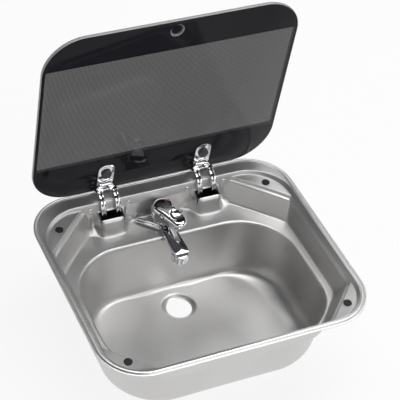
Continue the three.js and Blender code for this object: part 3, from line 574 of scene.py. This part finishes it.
# Pressed steel basin: closed rings from the rim's edge down to the drain, all with the same number of points
boss = {
    "x": 79.6,
    "half": 19.9,
    "edge": -19.0,
    "waist": -34.0,
    "reach": 19.2,  # how far it stands out from the rear wall, at its edge
    "foot": 26.5,  # and at the deck
    "footFrom": 0.5,  # share of the way down from which the rear corners follow the foot
    "footTip": 17.5,
    "softness": (3.2, 7.0, 7.0),  # at the edge, the waist and the deck
    "spread": (0.0, 0.1, 1.0),
    "roundFrom": 17.2,  # from the middle, where the front corners begin to round
    "corner": 8.2,
    "out": (36, 0.85),  # how far the foot runs out on this side, and its share
    "in": (18, 0.6),
}
basin = {
    "halfWidth": 210.0,
    "halfDepth": 185.0,
    "sheet": 0.8,
    "rimCorner": 70.7,
    "shelfChords": (305.4, 278.3),  # |x| + |y| along the shelves' inner edges, front and rear
    "deckChords": (279.4, 252.5),
    # insets at the sides, front and rear, height, what the corners in front and at the rear lose, softness
    "rimRows": [
        (0, 0, 0, 0.8, (0, 0), 0),
        (2.4, 2.4, 2.4, 0.8, (2.4, 2.4), 1),
        (4.4, 4.4, 4.4, 3.0, (4.4, 4.4), 1.2),
        (7, 7, 7, 3.3, (7, 7), 1.5),
        (9, 9, 8.6, 2.5, (8.7, 8.6), 1),
        (10.2, 10.2, 29.1, 2.4, (11.3, 4.0), 1.5),
        (14.4, 13.6, 31.05, -3.2, (14.2, 6.7), 1.2),
    ],
    "shelfRows": [
        (14.7, 13.9, 31.2, -3.6, (0, 0), 1),
        (17.7, 16, 32.85, -8.3, (1.4, 1.4), 0.5),
        (18.2, 16.6, 33.15, -9.2, (6.4, 6.4), 0.5),
        (18.4, 16.7, 33.5, -10.2, (7.8, 7.8), 0.8),
    ],
    "deckInset": (5.1, 5.3, 1.0),  # side, front and rear, from the last of these rows to the deck
    "deckZ": -42.0,
    "relax": (2, 10),  # passes under the shelves, and how many more at the deck
    "bowl": (176.5, -154.7, 100.5, 90.0),  # half width, front, rear, corner
    "bowlZ": -140.5,
    "bowlInset": (3.8, 4.5),  # at the lip and at the floor
    "taper": (5.2, 10.5, 10.9),  # side, front and rear
    "lip": 5.0,
    "fillets": (37.5, 14.0),  # where the floor begins, in front and at the rear
    "drainY": 41.0,
    "drainRings": [(27.0, 0.4, 2.0), (22.4, 4.0, 1.5), (20.0, 5.0, 0)],  # radius, depth, softness
    "slot": (38.6, 136.4, 149.2, 5.0),  # width, front, rear, corner
    "slotZ": (-18.9, -6.0),
    "tapHole": (130.0, 12.0),  # y, radius
}


# Rounds the kinks of a closed ring in plan
def relax(ring, passes):
    count = len(ring)
    for _ in range(passes):
        ring = [
            tuple((ring[i - 1][c] + 2 * ring[i][c] + ring[(i + 1) % count][c]) / 4 for c in (0, 1))
            for i in range(count)
        ]
    return ring


# How far the boss stands out at x, as a share: a round corner, then a long foot
def bossShare(x, flank):
    away = abs(x - boss["x"]) - boss["roundFrom"]
    near, far, weight = flank["out"] if x > boss["x"] else flank["in"]
    return 1 - weight * ease(away / near) - (1 - weight) * ease(away / far)


# Where the rear edge has its points, from the corner's tip to the middle, closest together at the boss
def rearPlaces(tip):
    outer, inner = boss["x"] + boss["half"], boss["x"] - boss["half"]
    start = outer + 9
    fullTip = start + 8.5
    if tip < start + 4:  # a narrower ring, so all of them are drawn in
        return [x * tip / fullTip for x in rearPlaces(fullTip)]
    spans = [
        (tip, start, 10), (start, outer - 4, 12), (outer - 4, inner + 4, 8), (inner + 4, inner - 20, 16),
        (inner - 20, 0, 8),
    ]
    return [a + (b - a) * k / n for a, b, n in spans for k in range(1, n + 1)]


# A corner from the front or rear line to the side, round or along a chord, as a curve with one weight
def cornerPoints(half, line, corner, steps=24):
    way = 1 if line > 0 else -1
    if "chord" in corner:
        across, tipY = corner.get("tipX", corner["chord"] - abs(line)), corner.get("tipY", line)
        along, weight = way * (corner["chord"] - half), 0.03  # nearly straight
    else:
        across, tipY = half - corner["radius"], line
        along, weight = line - way * corner["radius"], math.sqrt(0.5)  # a quarter circle
    points = []
    for k in range(steps + 1):
        t = k / steps
        a, b, c = (1 - t) ** 2, 2 * weight * t * (1 - t), t**2
        points.append((
            (a * across + b * half + c * half) / (a + b + c),
            (a * tipY + b * line + c * along) / (a + b + c),
        ))
    return points, across


def ringOutline(half, front, rear, frontCorner, rearCorner, flank=None, steps=10):
    ahead, _ = cornerPoints(half, front, frontCorner)
    behind, tip = cornerPoints(half, rear, rearCorner)
    behind.reverse()
    right = [(ahead[0][0] * k / steps, front) for k in range(steps)]
    right += ahead
    right += [(half, ahead[-1][1] + (behind[0][1] - ahead[-1][1]) * k / steps) for k in range(1, steps)]
    right += behind
    for x in rearPlaces(tip):
        out = flank["reach"] * bossShare(x, flank) if flank else 0
        limit = rearCorner["chord"] - x if "chord" in rearCorner else rear
        right.append((x, min(rear - out, limit)))
    return right + mirrored(right[1:-1])


def basinRow(side, front, rear, z, corners, flank=None, passes=0):
    frontLine, rearLine = front - basin["halfDepth"], basin["halfDepth"] - rear
    ring = ringOutline(basin["halfWidth"] - side, frontLine, rearLine, *corners, flank)
    return [(x, y, z) for x, y in relax(ring, passes)]


# The rows of the rim, the corner shelves and the walls down to the deck, each with its softness
def basinRows():
    shelf, deck = basin["shelfChords"], basin["deckChords"]
    rows = []
    for *place, less, soften in basin["rimRows"]:
        rows.append((basinRow(*place, [{"radius": basin["rimCorner"] - cut} for cut in less]), soften))
    for *place, less, soften in basin["shelfRows"]:
        rows.append((basinRow(*place, [{"chord": chord - cut} for chord, cut in zip(shelf, less)]), soften))
    side, front, rear, top, less, _ = basin["shelfRows"][-1]
    sideMore, frontMore, rearMore = basin["deckInset"]
    first, more = basin["relax"]
    for z, soften, spread in zip((boss["edge"], boss["waist"], basin["deckZ"]), boss["softness"], boss["spread"]):
        down = (z - top) / (basin["deckZ"] - top)
        face = (z - boss["edge"]) / (basin["deckZ"] - boss["edge"])
        ahead, behind = (
            {"chord": shelf[k] - less[k] + (deck[k] - shelf[k] + less[k]) * down} for k in (0, 1)
        )
        if face > boss["footFrom"]:
            tip = boss["x"] + boss["half"] + boss["footTip"]
            behind.update(tipX=tip, tipY=behind["chord"] - tip)
        flank = {"reach": boss["reach"] + (boss["foot"] - boss["reach"]) * face}
        for word in ("out", "in"):
            run, share = boss[word]
            flank[word] = (boss["corner"], boss["corner"] + run * spread, 1 - share * spread)
        insets = (side + sideMore * down, front + frontMore * down, rear + rearMore * down)
        rows.append((basinRow(*insets, z, (ahead, behind), flank, round(first + more * down)), soften))
    return rows


def bowlRing(inset, down, z):
    half, front, rear, corner = basin["bowl"]
    side, ahead, behind = basin["taper"]
    rounding = {"radius": corner - inset}
    ring = ringOutline(
        half - inset - side * down, front + inset + ahead * down, rear - inset - behind * down, rounding, rounding,
    )
    return [(x, y, z) for x, y in ring]


# The fillet at the floor is wide in front and at the sides, and tight at the rear
def floorSoftness(ring):
    front, rear = basin["fillets"]
    softness = []
    for i in range(len(ring)):
        a, b = ring[i - 1], ring[(i + 1) % len(ring)]
        inward = Vector((a[1] - b[1], b[0] - a[0])).normalized()
        softness.append(front + (rear - front) * max(0.0, -inward.y) ** 2)
    return softness


def drainRing(ring, radius, z):
    turns = [math.atan2(y - basin["drainY"], x) for x, y, _ in ring]
    return [(radius * math.cos(t), basin["drainY"] + radius * math.sin(t), z) for t in turns]


# One line down the sheet with its bends rounded, each by its own softness
def roundedProfile(points, softness, bendSteps):
    most = 0.45  # share of the way to the next point
    line = [points[0]]
    for k in range(1, len(points) - 1):
        here = points[k]
        toBefore, toAfter = points[k - 1] - here, points[k + 1] - here
        reach = min(softness[k], most * toBefore.length, most * toAfter.length)
        start = here + toBefore.normalized() * reach if toBefore.length > 0 else here
        end = here + toAfter.normalized() * reach if toAfter.length > 0 else here
        for j in range(bendSteps[k] + 1):
            t = j / bendSteps[k]
            line.append(start * (1 - t) ** 2 + here * 2 * t * (1 - t) + end * t**2)
    line.append(points[-1])
    return line


def makeSheet():
    rows = basinRows()
    atLip, atFloor = basin["bowlInset"]
    floorRow = bowlRing(atFloor, 1, basin["bowlZ"])
    count = len(floorRow)
    rings = [ring for ring, _ in rows] + [bowlRing(atLip, 0, basin["deckZ"]), floorRow]
    softness = [[soften] * count for _, soften in rows] + [[basin["lip"]] * count, floorSoftness(floorRow)]
    for radius, drop, soften in basin["drainRings"]:
        rings.append(drainRing(floorRow, radius, basin["bowlZ"] - drop))
        softness.append([soften] * count)
    bendSteps = [12 if soft[0] > 10 else 6 if soft[0] > 2.5 else 3 for soft in softness]
    lines = [
        roundedProfile([Vector(ring[i]) for ring in rings], [soft[i] for soft in softness], bendSteps)
        for i in range(count)
    ]
    levels = len(lines[0])
    sheet = meshPiece([lines[i][k] * mm for k in range(levels) for i in range(count)], tubeFaces(levels, count))
    startEdit(sheet)
    bpy.ops.mesh.normals_make_consistent(inside=False)
    endEdit()
    level = [face.normal.z for face in sheet.data.polygons if abs(face.normal.z) > 0.9]
    if sum(level) < 0:  # the upper side is the outer one
        startEdit(sheet)
        bpy.ops.mesh.flip_normals()
        endEdit()
    return sheet


# A block with its upright edges rounded
def makeCutter(width, low, high, corner, bottom, top, x):
    size = (width, high - low, top - bottom)
    cutter = makeBlock(size, (x, (low + high) / 2, (bottom + top) / 2))
    startEdit(cutter, "DESELECT")
    net = bmesh.from_edit_mesh(cutter.data)
    for edge in net.edges:
        a, b = edge.verts
        edge.select_set(abs(a.co.z - b.co.z) > 1e-4)
    bmesh.update_edit_mesh(cutter.data)
    bpy.ops.mesh.bevel(offset=corner * mm, segments=8, affect="EDGES")
    endEdit()
    return cutter


pan = makeSheet()
print("basin surface:", len(pan.data.polygons), "faces")
applyModifier(pan, "SOLIDIFY", thickness=basin["sheet"] * mm, offset=-1, use_even_offset=False)
for side in (-1, 1):
    subtract(pan, makeCutter(*basin["slot"], *basin["slotZ"], side * boss["x"]))
holeY, holeRadius = basin["tapHole"]
subtract(pan, makeRod(holeRadius, basin["deckZ"] - 5, basin["deckZ"] + 5, (0, holeY)))
settle(pan, "basinPan", "basin", ["sink_pan"], "steel_pressed", 50)
print("basin done:", len(pan.data.polygons), "faces")


lid = {
    "width": 393.0,
    "depth": 325.0,
    "thick": 5.0,
    "cornerHinge": 64.0,
    "cornerFree": 61.0,
    "chamfer": 0.8,
    "fingerHole": (307.0, 9.5),  # up the glass, radius
    "countersink": (7.9, 13.6, 5.0),  # radii and height of the cone on each face
    "bushHole": (79.6, 37.7, 6.0),
}


def makeGlassLid(sizes):
    width, depth, thick = sizes["width"], sizes["depth"], sizes["thick"]
    bpy.ops.mesh.primitive_plane_add(size=1, location=(0, 0, 0))
    glass = bpy.context.object
    glass.dimensions = (width * mm, depth * mm, 0)
    bpy.ops.object.transform_apply(location=False, rotation=False, scale=True)
    for low, corner in ((True, sizes["cornerHinge"]), (False, sizes["cornerFree"])):
        startEdit(glass, "DESELECT")
        net = bmesh.from_edit_mesh(glass.data)
        for vert in net.verts:
            atCorner = abs(vert.co.x) > (width / 2 - 0.1) * mm and abs(vert.co.y) > (depth / 2 - 0.1) * mm
            vert.select_set(atCorner and (vert.co.y < 0) == low)
        bmesh.update_edit_mesh(glass.data)
        bpy.ops.mesh.bevel(offset=corner * mm, segments=24, affect="VERTICES", clamp_overlap=False)
        endEdit()
    startEdit(glass)
    bpy.ops.mesh.extrude_region_move(TRANSFORM_OT_translate={"value": (0, 0, -thick * mm)})
    bpy.ops.mesh.select_all(action="SELECT")
    bpy.ops.mesh.normals_make_consistent(inside=False)
    endEdit()
    glass.location = (0, depth / 2 * mm, 0)
    bpy.ops.object.transform_apply(location=True, rotation=True, scale=True)
    breakEdges(glass, sizes["chamfer"], 2, 60)
    rise, radius = sizes["fingerHole"]
    subtract(glass, makeRod(radius, -thick - 2, 2, (0, rise), 64))
    narrow, wide, tall = sizes["countersink"]
    for face, turn in ((0.0, 0), (-thick, math.pi)):
        bpy.ops.mesh.primitive_cone_add(
            vertices=64, radius1=narrow * mm, radius2=wide * mm, depth=tall * mm,
            location=(0, rise * mm, face * mm), rotation=(turn, 0, 0),
        )
        subtract(glass, bpy.context.object)
    x, y, radius = sizes["bushHole"]
    for side in (-1, 1):
        subtract(glass, makeRod(radius, -thick - 2, 2, (side * x, y), 40))
    glass.data.materials.append(finishes["tinted_glass"])
    glass.data.materials.append(edgeGlass)
    for face in glass.data.polygons:
        face.material_index = 0 if abs(face.normal.z) > 0.95 else 1
    glass.matrix_world = lidFrame
    return glass


settle(makeGlassLid(lid), "lidGlass", "lid", ["lid_glass"], "tinted_glass", 30)
print("lid done")


# Hinges: goose-neck arms, knobs and rivets
hinge = {
    "pivotY": 170.5,
    "pivotZ": -13.2,
    "inner": 23.4,  # radii of the neck about the pivot
    "outer": 28.0,
    "spacing": 23.5,
    "strap": (92, 194),  # degrees from the rear, over the top
    # half of a strap's section: from its middle, and from the pivot
    "rib": [
        (3.5, 23.4), (4, 23.9), (4, 26.7), (3.7, 27.5), (3.0, 28), (2.2, 27.95), (1.5, 27.3), (0.8, 26.5), (0, 26.2),
    ],
    "bar": (17.5, 60, 100),  # half width, first and last degree
    "shoulder": (17.5, 12.5, -4, 17, 2.6, 7.6),  # half widths below and above, bottom, top, back, front
    "shoulderEdge": 1.3,
    "window": (6.5, 5.1, 11.6),  # half width, bottom, top
    "hub": 5.5,
    "spoke": (7.6, 4.0, 188.3),  # width, thickness, lean in degrees
    "bore": 2.65,
}


def makeArms(sizes):
    y, z = sizes["pivotY"], sizes["pivotZ"]
    centre = (0, y, z)
    inner, outer = sizes["inner"], sizes["outer"]

    def swept(outline, low, high, steps):
        start = math.radians(low)
        ring = [(x, y + r * math.cos(start), z + r * math.sin(start)) for x, r in outline]
        return spinPiece(ring, high - low, steps, centre, (-1, 0, 0))

    half, low, high = sizes["bar"]
    right = [
        (half - 1, inner), (half, inner + 1), (half, outer - 1.6), (half - 0.5, outer - 0.5), (half - 1.6, outer),
    ]
    left = mirrored(right)
    arms = swept(left[-1:] + right + left[:-1], low, high, 16)
    wide, narrow, bottom, top, back, front = sizes["shoulder"]
    startEdit(arms)  # the bar ends at the shoulder's back
    plane = lidFrame @ Vector((0, 0, back * mm))
    bpy.ops.mesh.bisect(plane_co=plane, plane_no=lidFrame.to_3x3() @ up, clear_inner=True, use_fill=True)
    endEdit()
    waist = top * 0.45
    outline = [(-wide, bottom), (wide, bottom), (wide, waist)] + topCorners(narrow, top, 4) + [(-wide, waist)]
    plate = extrudeOutline(outline, back, front, sizes["shoulderEdge"])
    plate.matrix_world = lidFrame
    unite(arms, plate)
    subtract(arms, crossRod(inner, 40, centre))
    across, low, high = sizes["window"]
    opening = [(-across, low), (across, low)] + topCorners(across, high, 3)
    cutter = extrudeOutline(opening, back - 2, front + 9, 0)
    cutter.matrix_world = lidFrame
    subtract(arms, cutter)
    section = sizes["rib"] + mirrored(sizes["rib"][:-1])
    first, last = sizes["strap"]
    spokeWidth, thick, lean = sizes["spoke"]
    along = Matrix.Rotation(math.radians(lean), 4, "X") @ Matrix.Translation((0, (inner + 1) / 2 * mm, 0))
    for side in (-1, 1):
        middle = side * sizes["spacing"] / 2
        unite(arms, swept([(middle + x, r) for x, r in section], first, last, 36))
        spoke = makeBlock((spokeWidth, inner + 1, thick))
        spoke.matrix_world = Matrix.Translation((middle * mm, y * mm, z * mm)) @ along
        unite(arms, spoke)
    unite(arms, crossRod(sizes["hub"], (sizes["spacing"] + 8) / 2, centre))
    subtract(arms, crossRod(sizes["bore"], 30, centre))
    return arms


knob = {
    "up": 37.7,
    "profile": [
        (2.55, 2.6), (7.3, 2.6), (7.8, 2.9), (8, 3.5), (8, 5.4), (7.85, 6.0), (7.4, 6.45), (6.8, 6.6), (5.7, 6.6),
        (5.45, 6.35), (0, 6.55), (0, 6.25), (4.95, 6.22), (4.95, 4.8), (2.55, 4.8),
    ],
    "cross": (7.4, 1.3, 6.42),  # length, width, floor
    "crossTurn": 0.3,
}


def makeKnob(sizes):
    made = turnPiece(sizes["profile"], 48)
    length, width, floor = sizes["cross"]
    for turn in (sizes["crossTurn"], sizes["crossTurn"] + math.pi / 2):
        subtract(made, makeBlock((length, width, 2), (0, 0, floor + 1), turn))
    return made


rivet = {
    "away": 30.8,  # from the hinge's middle
    "place": (152.54, -7.2),
    "tilt": 70.55,
    "profile": [
        (0, -0.5), (1.35, -0.5), (1.5, 0.9), (1.75, 1.4), (2.3, 1.5), (3.0, 1.3), (3.5, 0.8), (3.65, 0.3), (2, 0.3),
        (2, -5.2), (3.2, -5.2), (3.0, -6.2), (0, -6.4),
    ],
}

arms = makeArms(hinge)
knobShape = makeKnob(knob)
rivetShape = turnPiece(rivet["profile"], 40)
rivetShape.data.materials.append(rivetSteel)
rivetY, rivetZ = rivet["place"]
tilted = Matrix.Rotation(math.radians(rivet["tilt"]), 4, "X")
for word, side in (("left", -1), ("right", 1)):
    shift = Matrix.Translation((side * boss["x"] * mm, 0, 0))
    settle(copyTo(arms, shift), "hingeArms." + word, "lid", ["hinge_arm_" + word], "chrome_plated", 32)
    lifted = shift @ lidFrame @ Matrix.Translation((0, knob["up"] * mm, 0))
    settle(copyTo(knobShape, lifted), "hingeKnob." + word, "lid", ["hinge_knob_" + word], "black_plastic", 32)
    for place, away in (("inner", -1), ("outer", 1)):
        x = side * (boss["x"] + away * rivet["away"])
        onWall = Matrix.Translation((x * mm, rivetY * mm, rivetZ * mm)) @ tilted
        node = "rivet_" + place + "_" + word
        settle(copyTo(rivetShape, onWall), node + ".head", "basin", [node], slots[node], 32)
for shape in (arms, knobShape, rivetShape):
    bpy.data.objects.remove(shape)
print("hinges done")


# Tap: body with spout and wings, nozzle, lever
tap = {
    "y": 130.0,
    "column": [(0, -41.2), (14.6, -41.2), (15, -40.8), (15, -35.4), (14.7, -34.7), (14, -34.5), (0, -34.5)],
    "ball": (16.0, -24.0, -36.5),  # radius, centre, bottom
    "bore": (10.0, -30.0),  # radius, floor
    "shank": (10.5, -74.0, -46.0, -40.2),  # radius, bottom, end of the thread, top
    "tip": 1.2,
    "thread": (1.5, 0.7, 0.6),  # pitch, depth, start
    "spout": (12.0, 71.0, 11.0, 12.6),  # start, reach, half width, head
    "spoutZ": (-41.2, -30.0),
    "spoutFall": 2.0,
    "spoutFoot": [(1.4, 0), (0.4, 0.4), (0, 1.4)],  # inset, from the bottom
    "spoutRoof": [(0, -4.2), (0.12, -3.5), (0.5, -2.9), (1.1, -2.5), (1.7, -2.3), (10.6, 0)],  # inset, from the top
    "nose": [(3.5, 0, 1.0), (7.6, 4.1, 0.27)],  # from the head's middle, down from the roof, slope
    "nozzleHole": (7.0, -44.2, -36.2),
    "wingRoot": (7.0, -15.0),
    "wingTip": (37.5, 15.5),
    "wingHeight": 7.0,
    "wingBase": -41.7,
    "wingClear": (14.9, -43.0, -41.2),  # kept free under the column
    # share of the way out, half width, share of the height
    "wingPlaces": [(0, 4.6, 1), (0.3, 4.9, 1), (0.6, 5.1, 1), (0.86, 5.2, 0.97), (0.95, 4.9, 0.86), (1, 4.2, 0.62)],
    "wingSection": [
        (-1, 0), (1, 0), (1, 0.42), (0.86, 0.62), (0.66, 0.7), (0.5, 0.6), (0.34, 0.66), (0.2, 0.92), (0, 1),
        (-0.2, 0.92), (-0.34, 0.66), (-0.5, 0.6), (-0.66, 0.7), (-0.86, 0.62), (-1, 0.42),
    ],
}


def makeSpout(sizes):
    start, reach, half, head = sizes["spout"]
    low, high = sizes["spoutZ"]
    rootSteps, sideSteps, headSteps = 6, 12, 32
    steps = range(1, sideSteps)
    rows = [(inset, low + rise, 0) for inset, rise in sizes["spoutFoot"]]
    rows += [(inset, high + rise, sizes["spoutFall"]) for inset, rise in sizes["spoutRoof"]]
    rings = []
    for inset, z, fall in rows:
        wide, tip = max(half - inset, 0.4), max(head - inset, 0.4)
        plan = [(wide - 2 * wide * k / rootSteps, -start) for k in range(rootSteps + 1)]
        plan += [(-wide + (wide - tip) * k / sideSteps, -start - (reach - start) * k / sideSteps) for k in steps]
        plan += arc(0, -reach, tip, 180, 360, headSteps)
        plan += [(tip + (wide - tip) * k / sideSteps, -reach + (reach - start) * k / sideSteps) for k in steps]
        rings.append([(x, y, z - fall * ((-start - y) / (reach - start))) for x, y in plan])
    spout = loftPiece(rings)
    for ahead, down, slope in sizes["nose"]:
        startEdit(spout)
        edge = (0, (-reach - ahead) * mm, (high - sizes["spoutFall"] - down) * mm)
        bpy.ops.mesh.bisect(plane_co=edge, plane_no=(0, -1, slope), clear_outer=True, use_fill=True)
        endEdit()
    return outward(spout)


def makeWing(sizes, side):
    start, end = Vector(sizes["wingRoot"]), Vector(sizes["wingTip"])
    along = (end - start).normalized()
    across = Vector((-along.y, along.x))
    rings = []
    for share, half, height in sizes["wingPlaces"]:
        middle = start.lerp(end, share)
        ring = []
        for w, h in sizes["wingSection"]:
            point = middle + across * w * half
            ring.append((side * point.x, point.y, sizes["wingBase"] + h * height * sizes["wingHeight"]))
        rings.append(ring)
    return loftPiece(rings)


def makeShank(sizes):
    radius, bottom, threadTop, top = sizes["shank"]
    pitch, depth, start = sizes["thread"]
    profile = [(0, bottom), (radius - sizes["tip"], bottom)]
    for k in range(int((threadTop - bottom) / pitch)):
        for share, cut in ((0.2, 0), (0.35, 0), (0.7, depth)):  # both sides of the crest, and the root
            profile.append((radius - cut, bottom + start + pitch * (k + share)))
    profile += [(radius, threadTop + sizes["tip"]), (radius, top), (0, top)]
    return turnPiece(profile, 48)


def makeTapBody(sizes):
    radius, centre, bottom = sizes["ball"]
    bore, floor = sizes["bore"]
    low = math.degrees(math.asin((bottom - centre) / radius))
    high = math.degrees(math.acos(bore / radius))
    ball = arc(0, centre, radius, low, high, 20)
    body = turnPiece([(0, bottom)] + ball + [(bore, floor), (0, floor)], 64)
    unite(body, turnPiece(sizes["column"], 64))
    unite(body, makeShank(sizes))
    unite(body, makeSpout(sizes))
    for side in (-1, 1):
        wing = makeWing(sizes, side)
        subtract(wing, makeRod(*sizes["wingClear"]))
        unite(body, wing)
    subtract(body, makeRod(*sizes["nozzleHole"], (0, -sizes["spout"][1])))
    return body


nozzle = {
    "radius": 13.0,
    "bottom": -57.0,
    "top": -42.2,
    "mouth": 10.4,
    "mouthRoof": 4,  # below the top
    "flutes": 12,
    # inset, height from the bottom or from the top, depth of the flutes
    "foot": [(1.3, 0, 0.8), (0.7, 0.5, 1.3), (0.3, 1.6, 1.7)],
    "head": [(0, -3.4, 1.7), (0, -1.8, 1.3), (0.1, -0.9, 0.5), (0.3, -0.3, 0), (0.7, 0.3, 0), (1.2, 0.6, 0)],
}


def makeNozzle(sizes):
    bottom, top, flutes = sizes["bottom"], sizes["top"], sizes["flutes"]
    count = flutes * 10
    rows = [(inset, bottom + rise, depth) for inset, rise, depth in sizes["foot"]]
    rows += [(inset, top + rise, depth) for inset, rise, depth in sizes["head"]]
    rings = []
    for inset, z, depth in rows:
        ring = []
        for k in range(count):
            turn = math.tau * k / count
            wave = (0.5 - 0.5 * math.cos(turn * flutes)) ** 0.8
            r = sizes["radius"] - inset - depth * wave
            ring.append((r * math.cos(turn), r * math.sin(turn), z))
        rings.append(ring)
    made = loftPiece(rings)
    subtract(made, makeRod(sizes["mouth"], bottom - 1, top - sizes["mouthRoof"], (0, 0), 64))
    return made


lever = {
    "aim": 20.0,  # degrees to the right of straight forward
    "top": -3.2,
    "skirt": -24.3,
    "tipTop": -12.0,
    "tipBottom": -18.5,
    "dome": 19.0,
    "tip": 12.5,
    "reach": 47.5,
    "droop": 1.3,  # 1 is a straight back
    "rise": (0.35, 0.5),  # shares of the reach where the underside starts to rise, and over which it does
    # inset, share of the height
    "rows": [
        (0, 0), (0, 0.1), (0, 0.38), (0.15, 0.46), (0.45, 0.54), (0.95, 0.63), (1.7, 0.72), (2.8, 0.81),
        (4.2, 0.885), (5.8, 0.935), (7.6, 0.965), (9.6, 0.985), (11.4, 0.996), (13, 1),
    ],
    "dish": (32.5, 10.6, 3.6, 1.2, 0.6),  # out, radius, depth, stretch along the lever, below the back
    "pit": (-49.0, 20.2, -12.0, 4.6),  # turn, out, height, radius
    "pitHole": (2.3, 5.6),  # radius, length
    "socket": (16.6, -24.0),  # radius, centre
    "stem": (3.2, -14.0, 2.2),  # radius, bottom, below the top
}


def makeLever(sizes):
    far = sizes["reach"] - sizes["tip"]
    tipSteps, sideSteps, backSteps = 31, 20, 63

    # round the tip, up the right side, round the dome and back down the left side
    def plan(inset):
        big = sizes["dome"] - inset
        small = max(sizes["tip"] - inset * 0.75, 1.5)
        lean = math.degrees(math.asin((big - small) / far))
        tip = arc(0, -far, small, 180 + lean, 360 - lean, tipSteps)
        fromX, fromY = tip[-1]
        toX, toY = big * math.cos(math.radians(-lean)), big * math.sin(math.radians(-lean))
        right = [
            (fromX + (toX - fromX) * k / sideSteps, fromY + (toY - fromY) * k / sideSteps)
            for k in range(1, sideSteps)
        ]
        return tip + right + arc(0, 0, big, -lean, 180 + lean, backSteps) + mirrored(right)

    def height(y, share):
        along = max(0.0, -y) / sizes["reach"]
        start, over = sizes["rise"]
        top = sizes["top"] + (sizes["tipTop"] - sizes["top"]) * along ** sizes["droop"]
        low = sizes["skirt"] + (sizes["tipBottom"] - sizes["skirt"]) * ease((along - start) / over)
        return low + (top - low) * share

    rings = [[(x, y, height(y, share)) for x, y in plan(inset)] for inset, share in sizes["rows"]]
    count = len(rings[0])
    faces = tubeFaces(len(rings), count)
    for base in (0, (len(rings) - 1) * count):  # each end is closed by strips across, from the tip to the back
        for j in range(count // 2 - 1):
            ahead, behind = tipSteps // 2 - j, tipSteps // 2 + 1 + j
            faces.append(tuple(base + k % count for k in (ahead, behind, behind + 1, ahead - 1)))
    cap = outward(meshPiece(inMetres(point for ring in rings for point in ring), faces))
    radius, centre = sizes["socket"]
    subtract(cap, makeBall(radius, (0, 0, centre), 64, 48))
    radius, bottom, below = sizes["stem"]
    subtract(cap, makeRod(radius, bottom, sizes["top"] - below))
    out, radius, depth, stretch, below = sizes["dish"]
    bowl = (radius**2 + depth**2) / (2 * depth)
    dish = makeBall(bowl, (0, -out, height(-out, 1) - below - depth + bowl), 96, 64)
    dish.scale = (1, stretch, 1)
    subtract(cap, dish)
    turn, out, rise, radius = sizes["pit"]
    turned = Matrix.Rotation(math.radians(turn), 4, "Z") @ Matrix.Translation((0, -out * mm, rise * mm))
    pit = makeBall(radius, (0, 0, 0), 48, 32)
    pit.matrix_world = turned
    subtract(cap, pit)
    radius, length = sizes["pitHole"]
    hole = makeRod(radius, -length, 0, (0, 0), 32)
    inward = Matrix.Rotation(math.pi / 2, 4, "X") @ Matrix.Translation((0, 0, -length / 2 * mm))
    hole.matrix_world = turned @ inward
    subtract(cap, hole)
    return cap


standing = Matrix.Translation((0, tap["y"] * mm, 0))
body = makeTapBody(tap)
body.matrix_world = standing
settle(body, "tapBody", "basin", ["tap_body"], "chrome_plated", 20)
flutedEnd = makeNozzle(nozzle)
flutedEnd.matrix_world = standing @ Matrix.Translation((0, -tap["spout"][1] * mm, 0))
settle(flutedEnd, "tapNozzle", "basin", ["tap_nozzle"], "chrome_plated", 40)
cap = makeLever(lever)
cap.matrix_world = standing @ Matrix.Rotation(math.radians(lever["aim"]), 4, "Z")
settle(cap, "tapLever", bodyOf("tap_lever"), ["tap_lever"], "chrome_plated", 30)
print("tap done")


# Small nodes that keep their shape, and the width by which their edges are broken
smoothed = {
    "hinge_tongue": 0.4, "hinge_screw": 0.2, "hinge_cap": 0.5, "hinge_housing": 0.3, "tap_aerator": 0.15,
    "tap_nut": 0.4, "tap_inlet": 0.2, "lid_pad": 0.3,
}


# A copy of a node with its corners merged, its edges broken a little and its curves smooth
def smoothCopy(name, width):
    piece = copyTo(frame["nodes"][name], Matrix())
    for key in list(piece.keys()):
        if key.startswith("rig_"):
            del piece[key]
    startEdit(piece)
    bpy.ops.mesh.remove_doubles(threshold=0.00002)
    bpy.ops.mesh.dissolve_limited(angle_limit=math.radians(1))
    endEdit()
    breakEdges(piece, width, 2, 40)
    settle(piece, name + ".smooth", bodyOf(name), [name], slots[name], 32)


for name in sorted(frame["nodes"]):
    for start, width in smoothed.items():
        if name.startswith(start):
            smoothCopy(name, width)
print("smooth copies done")
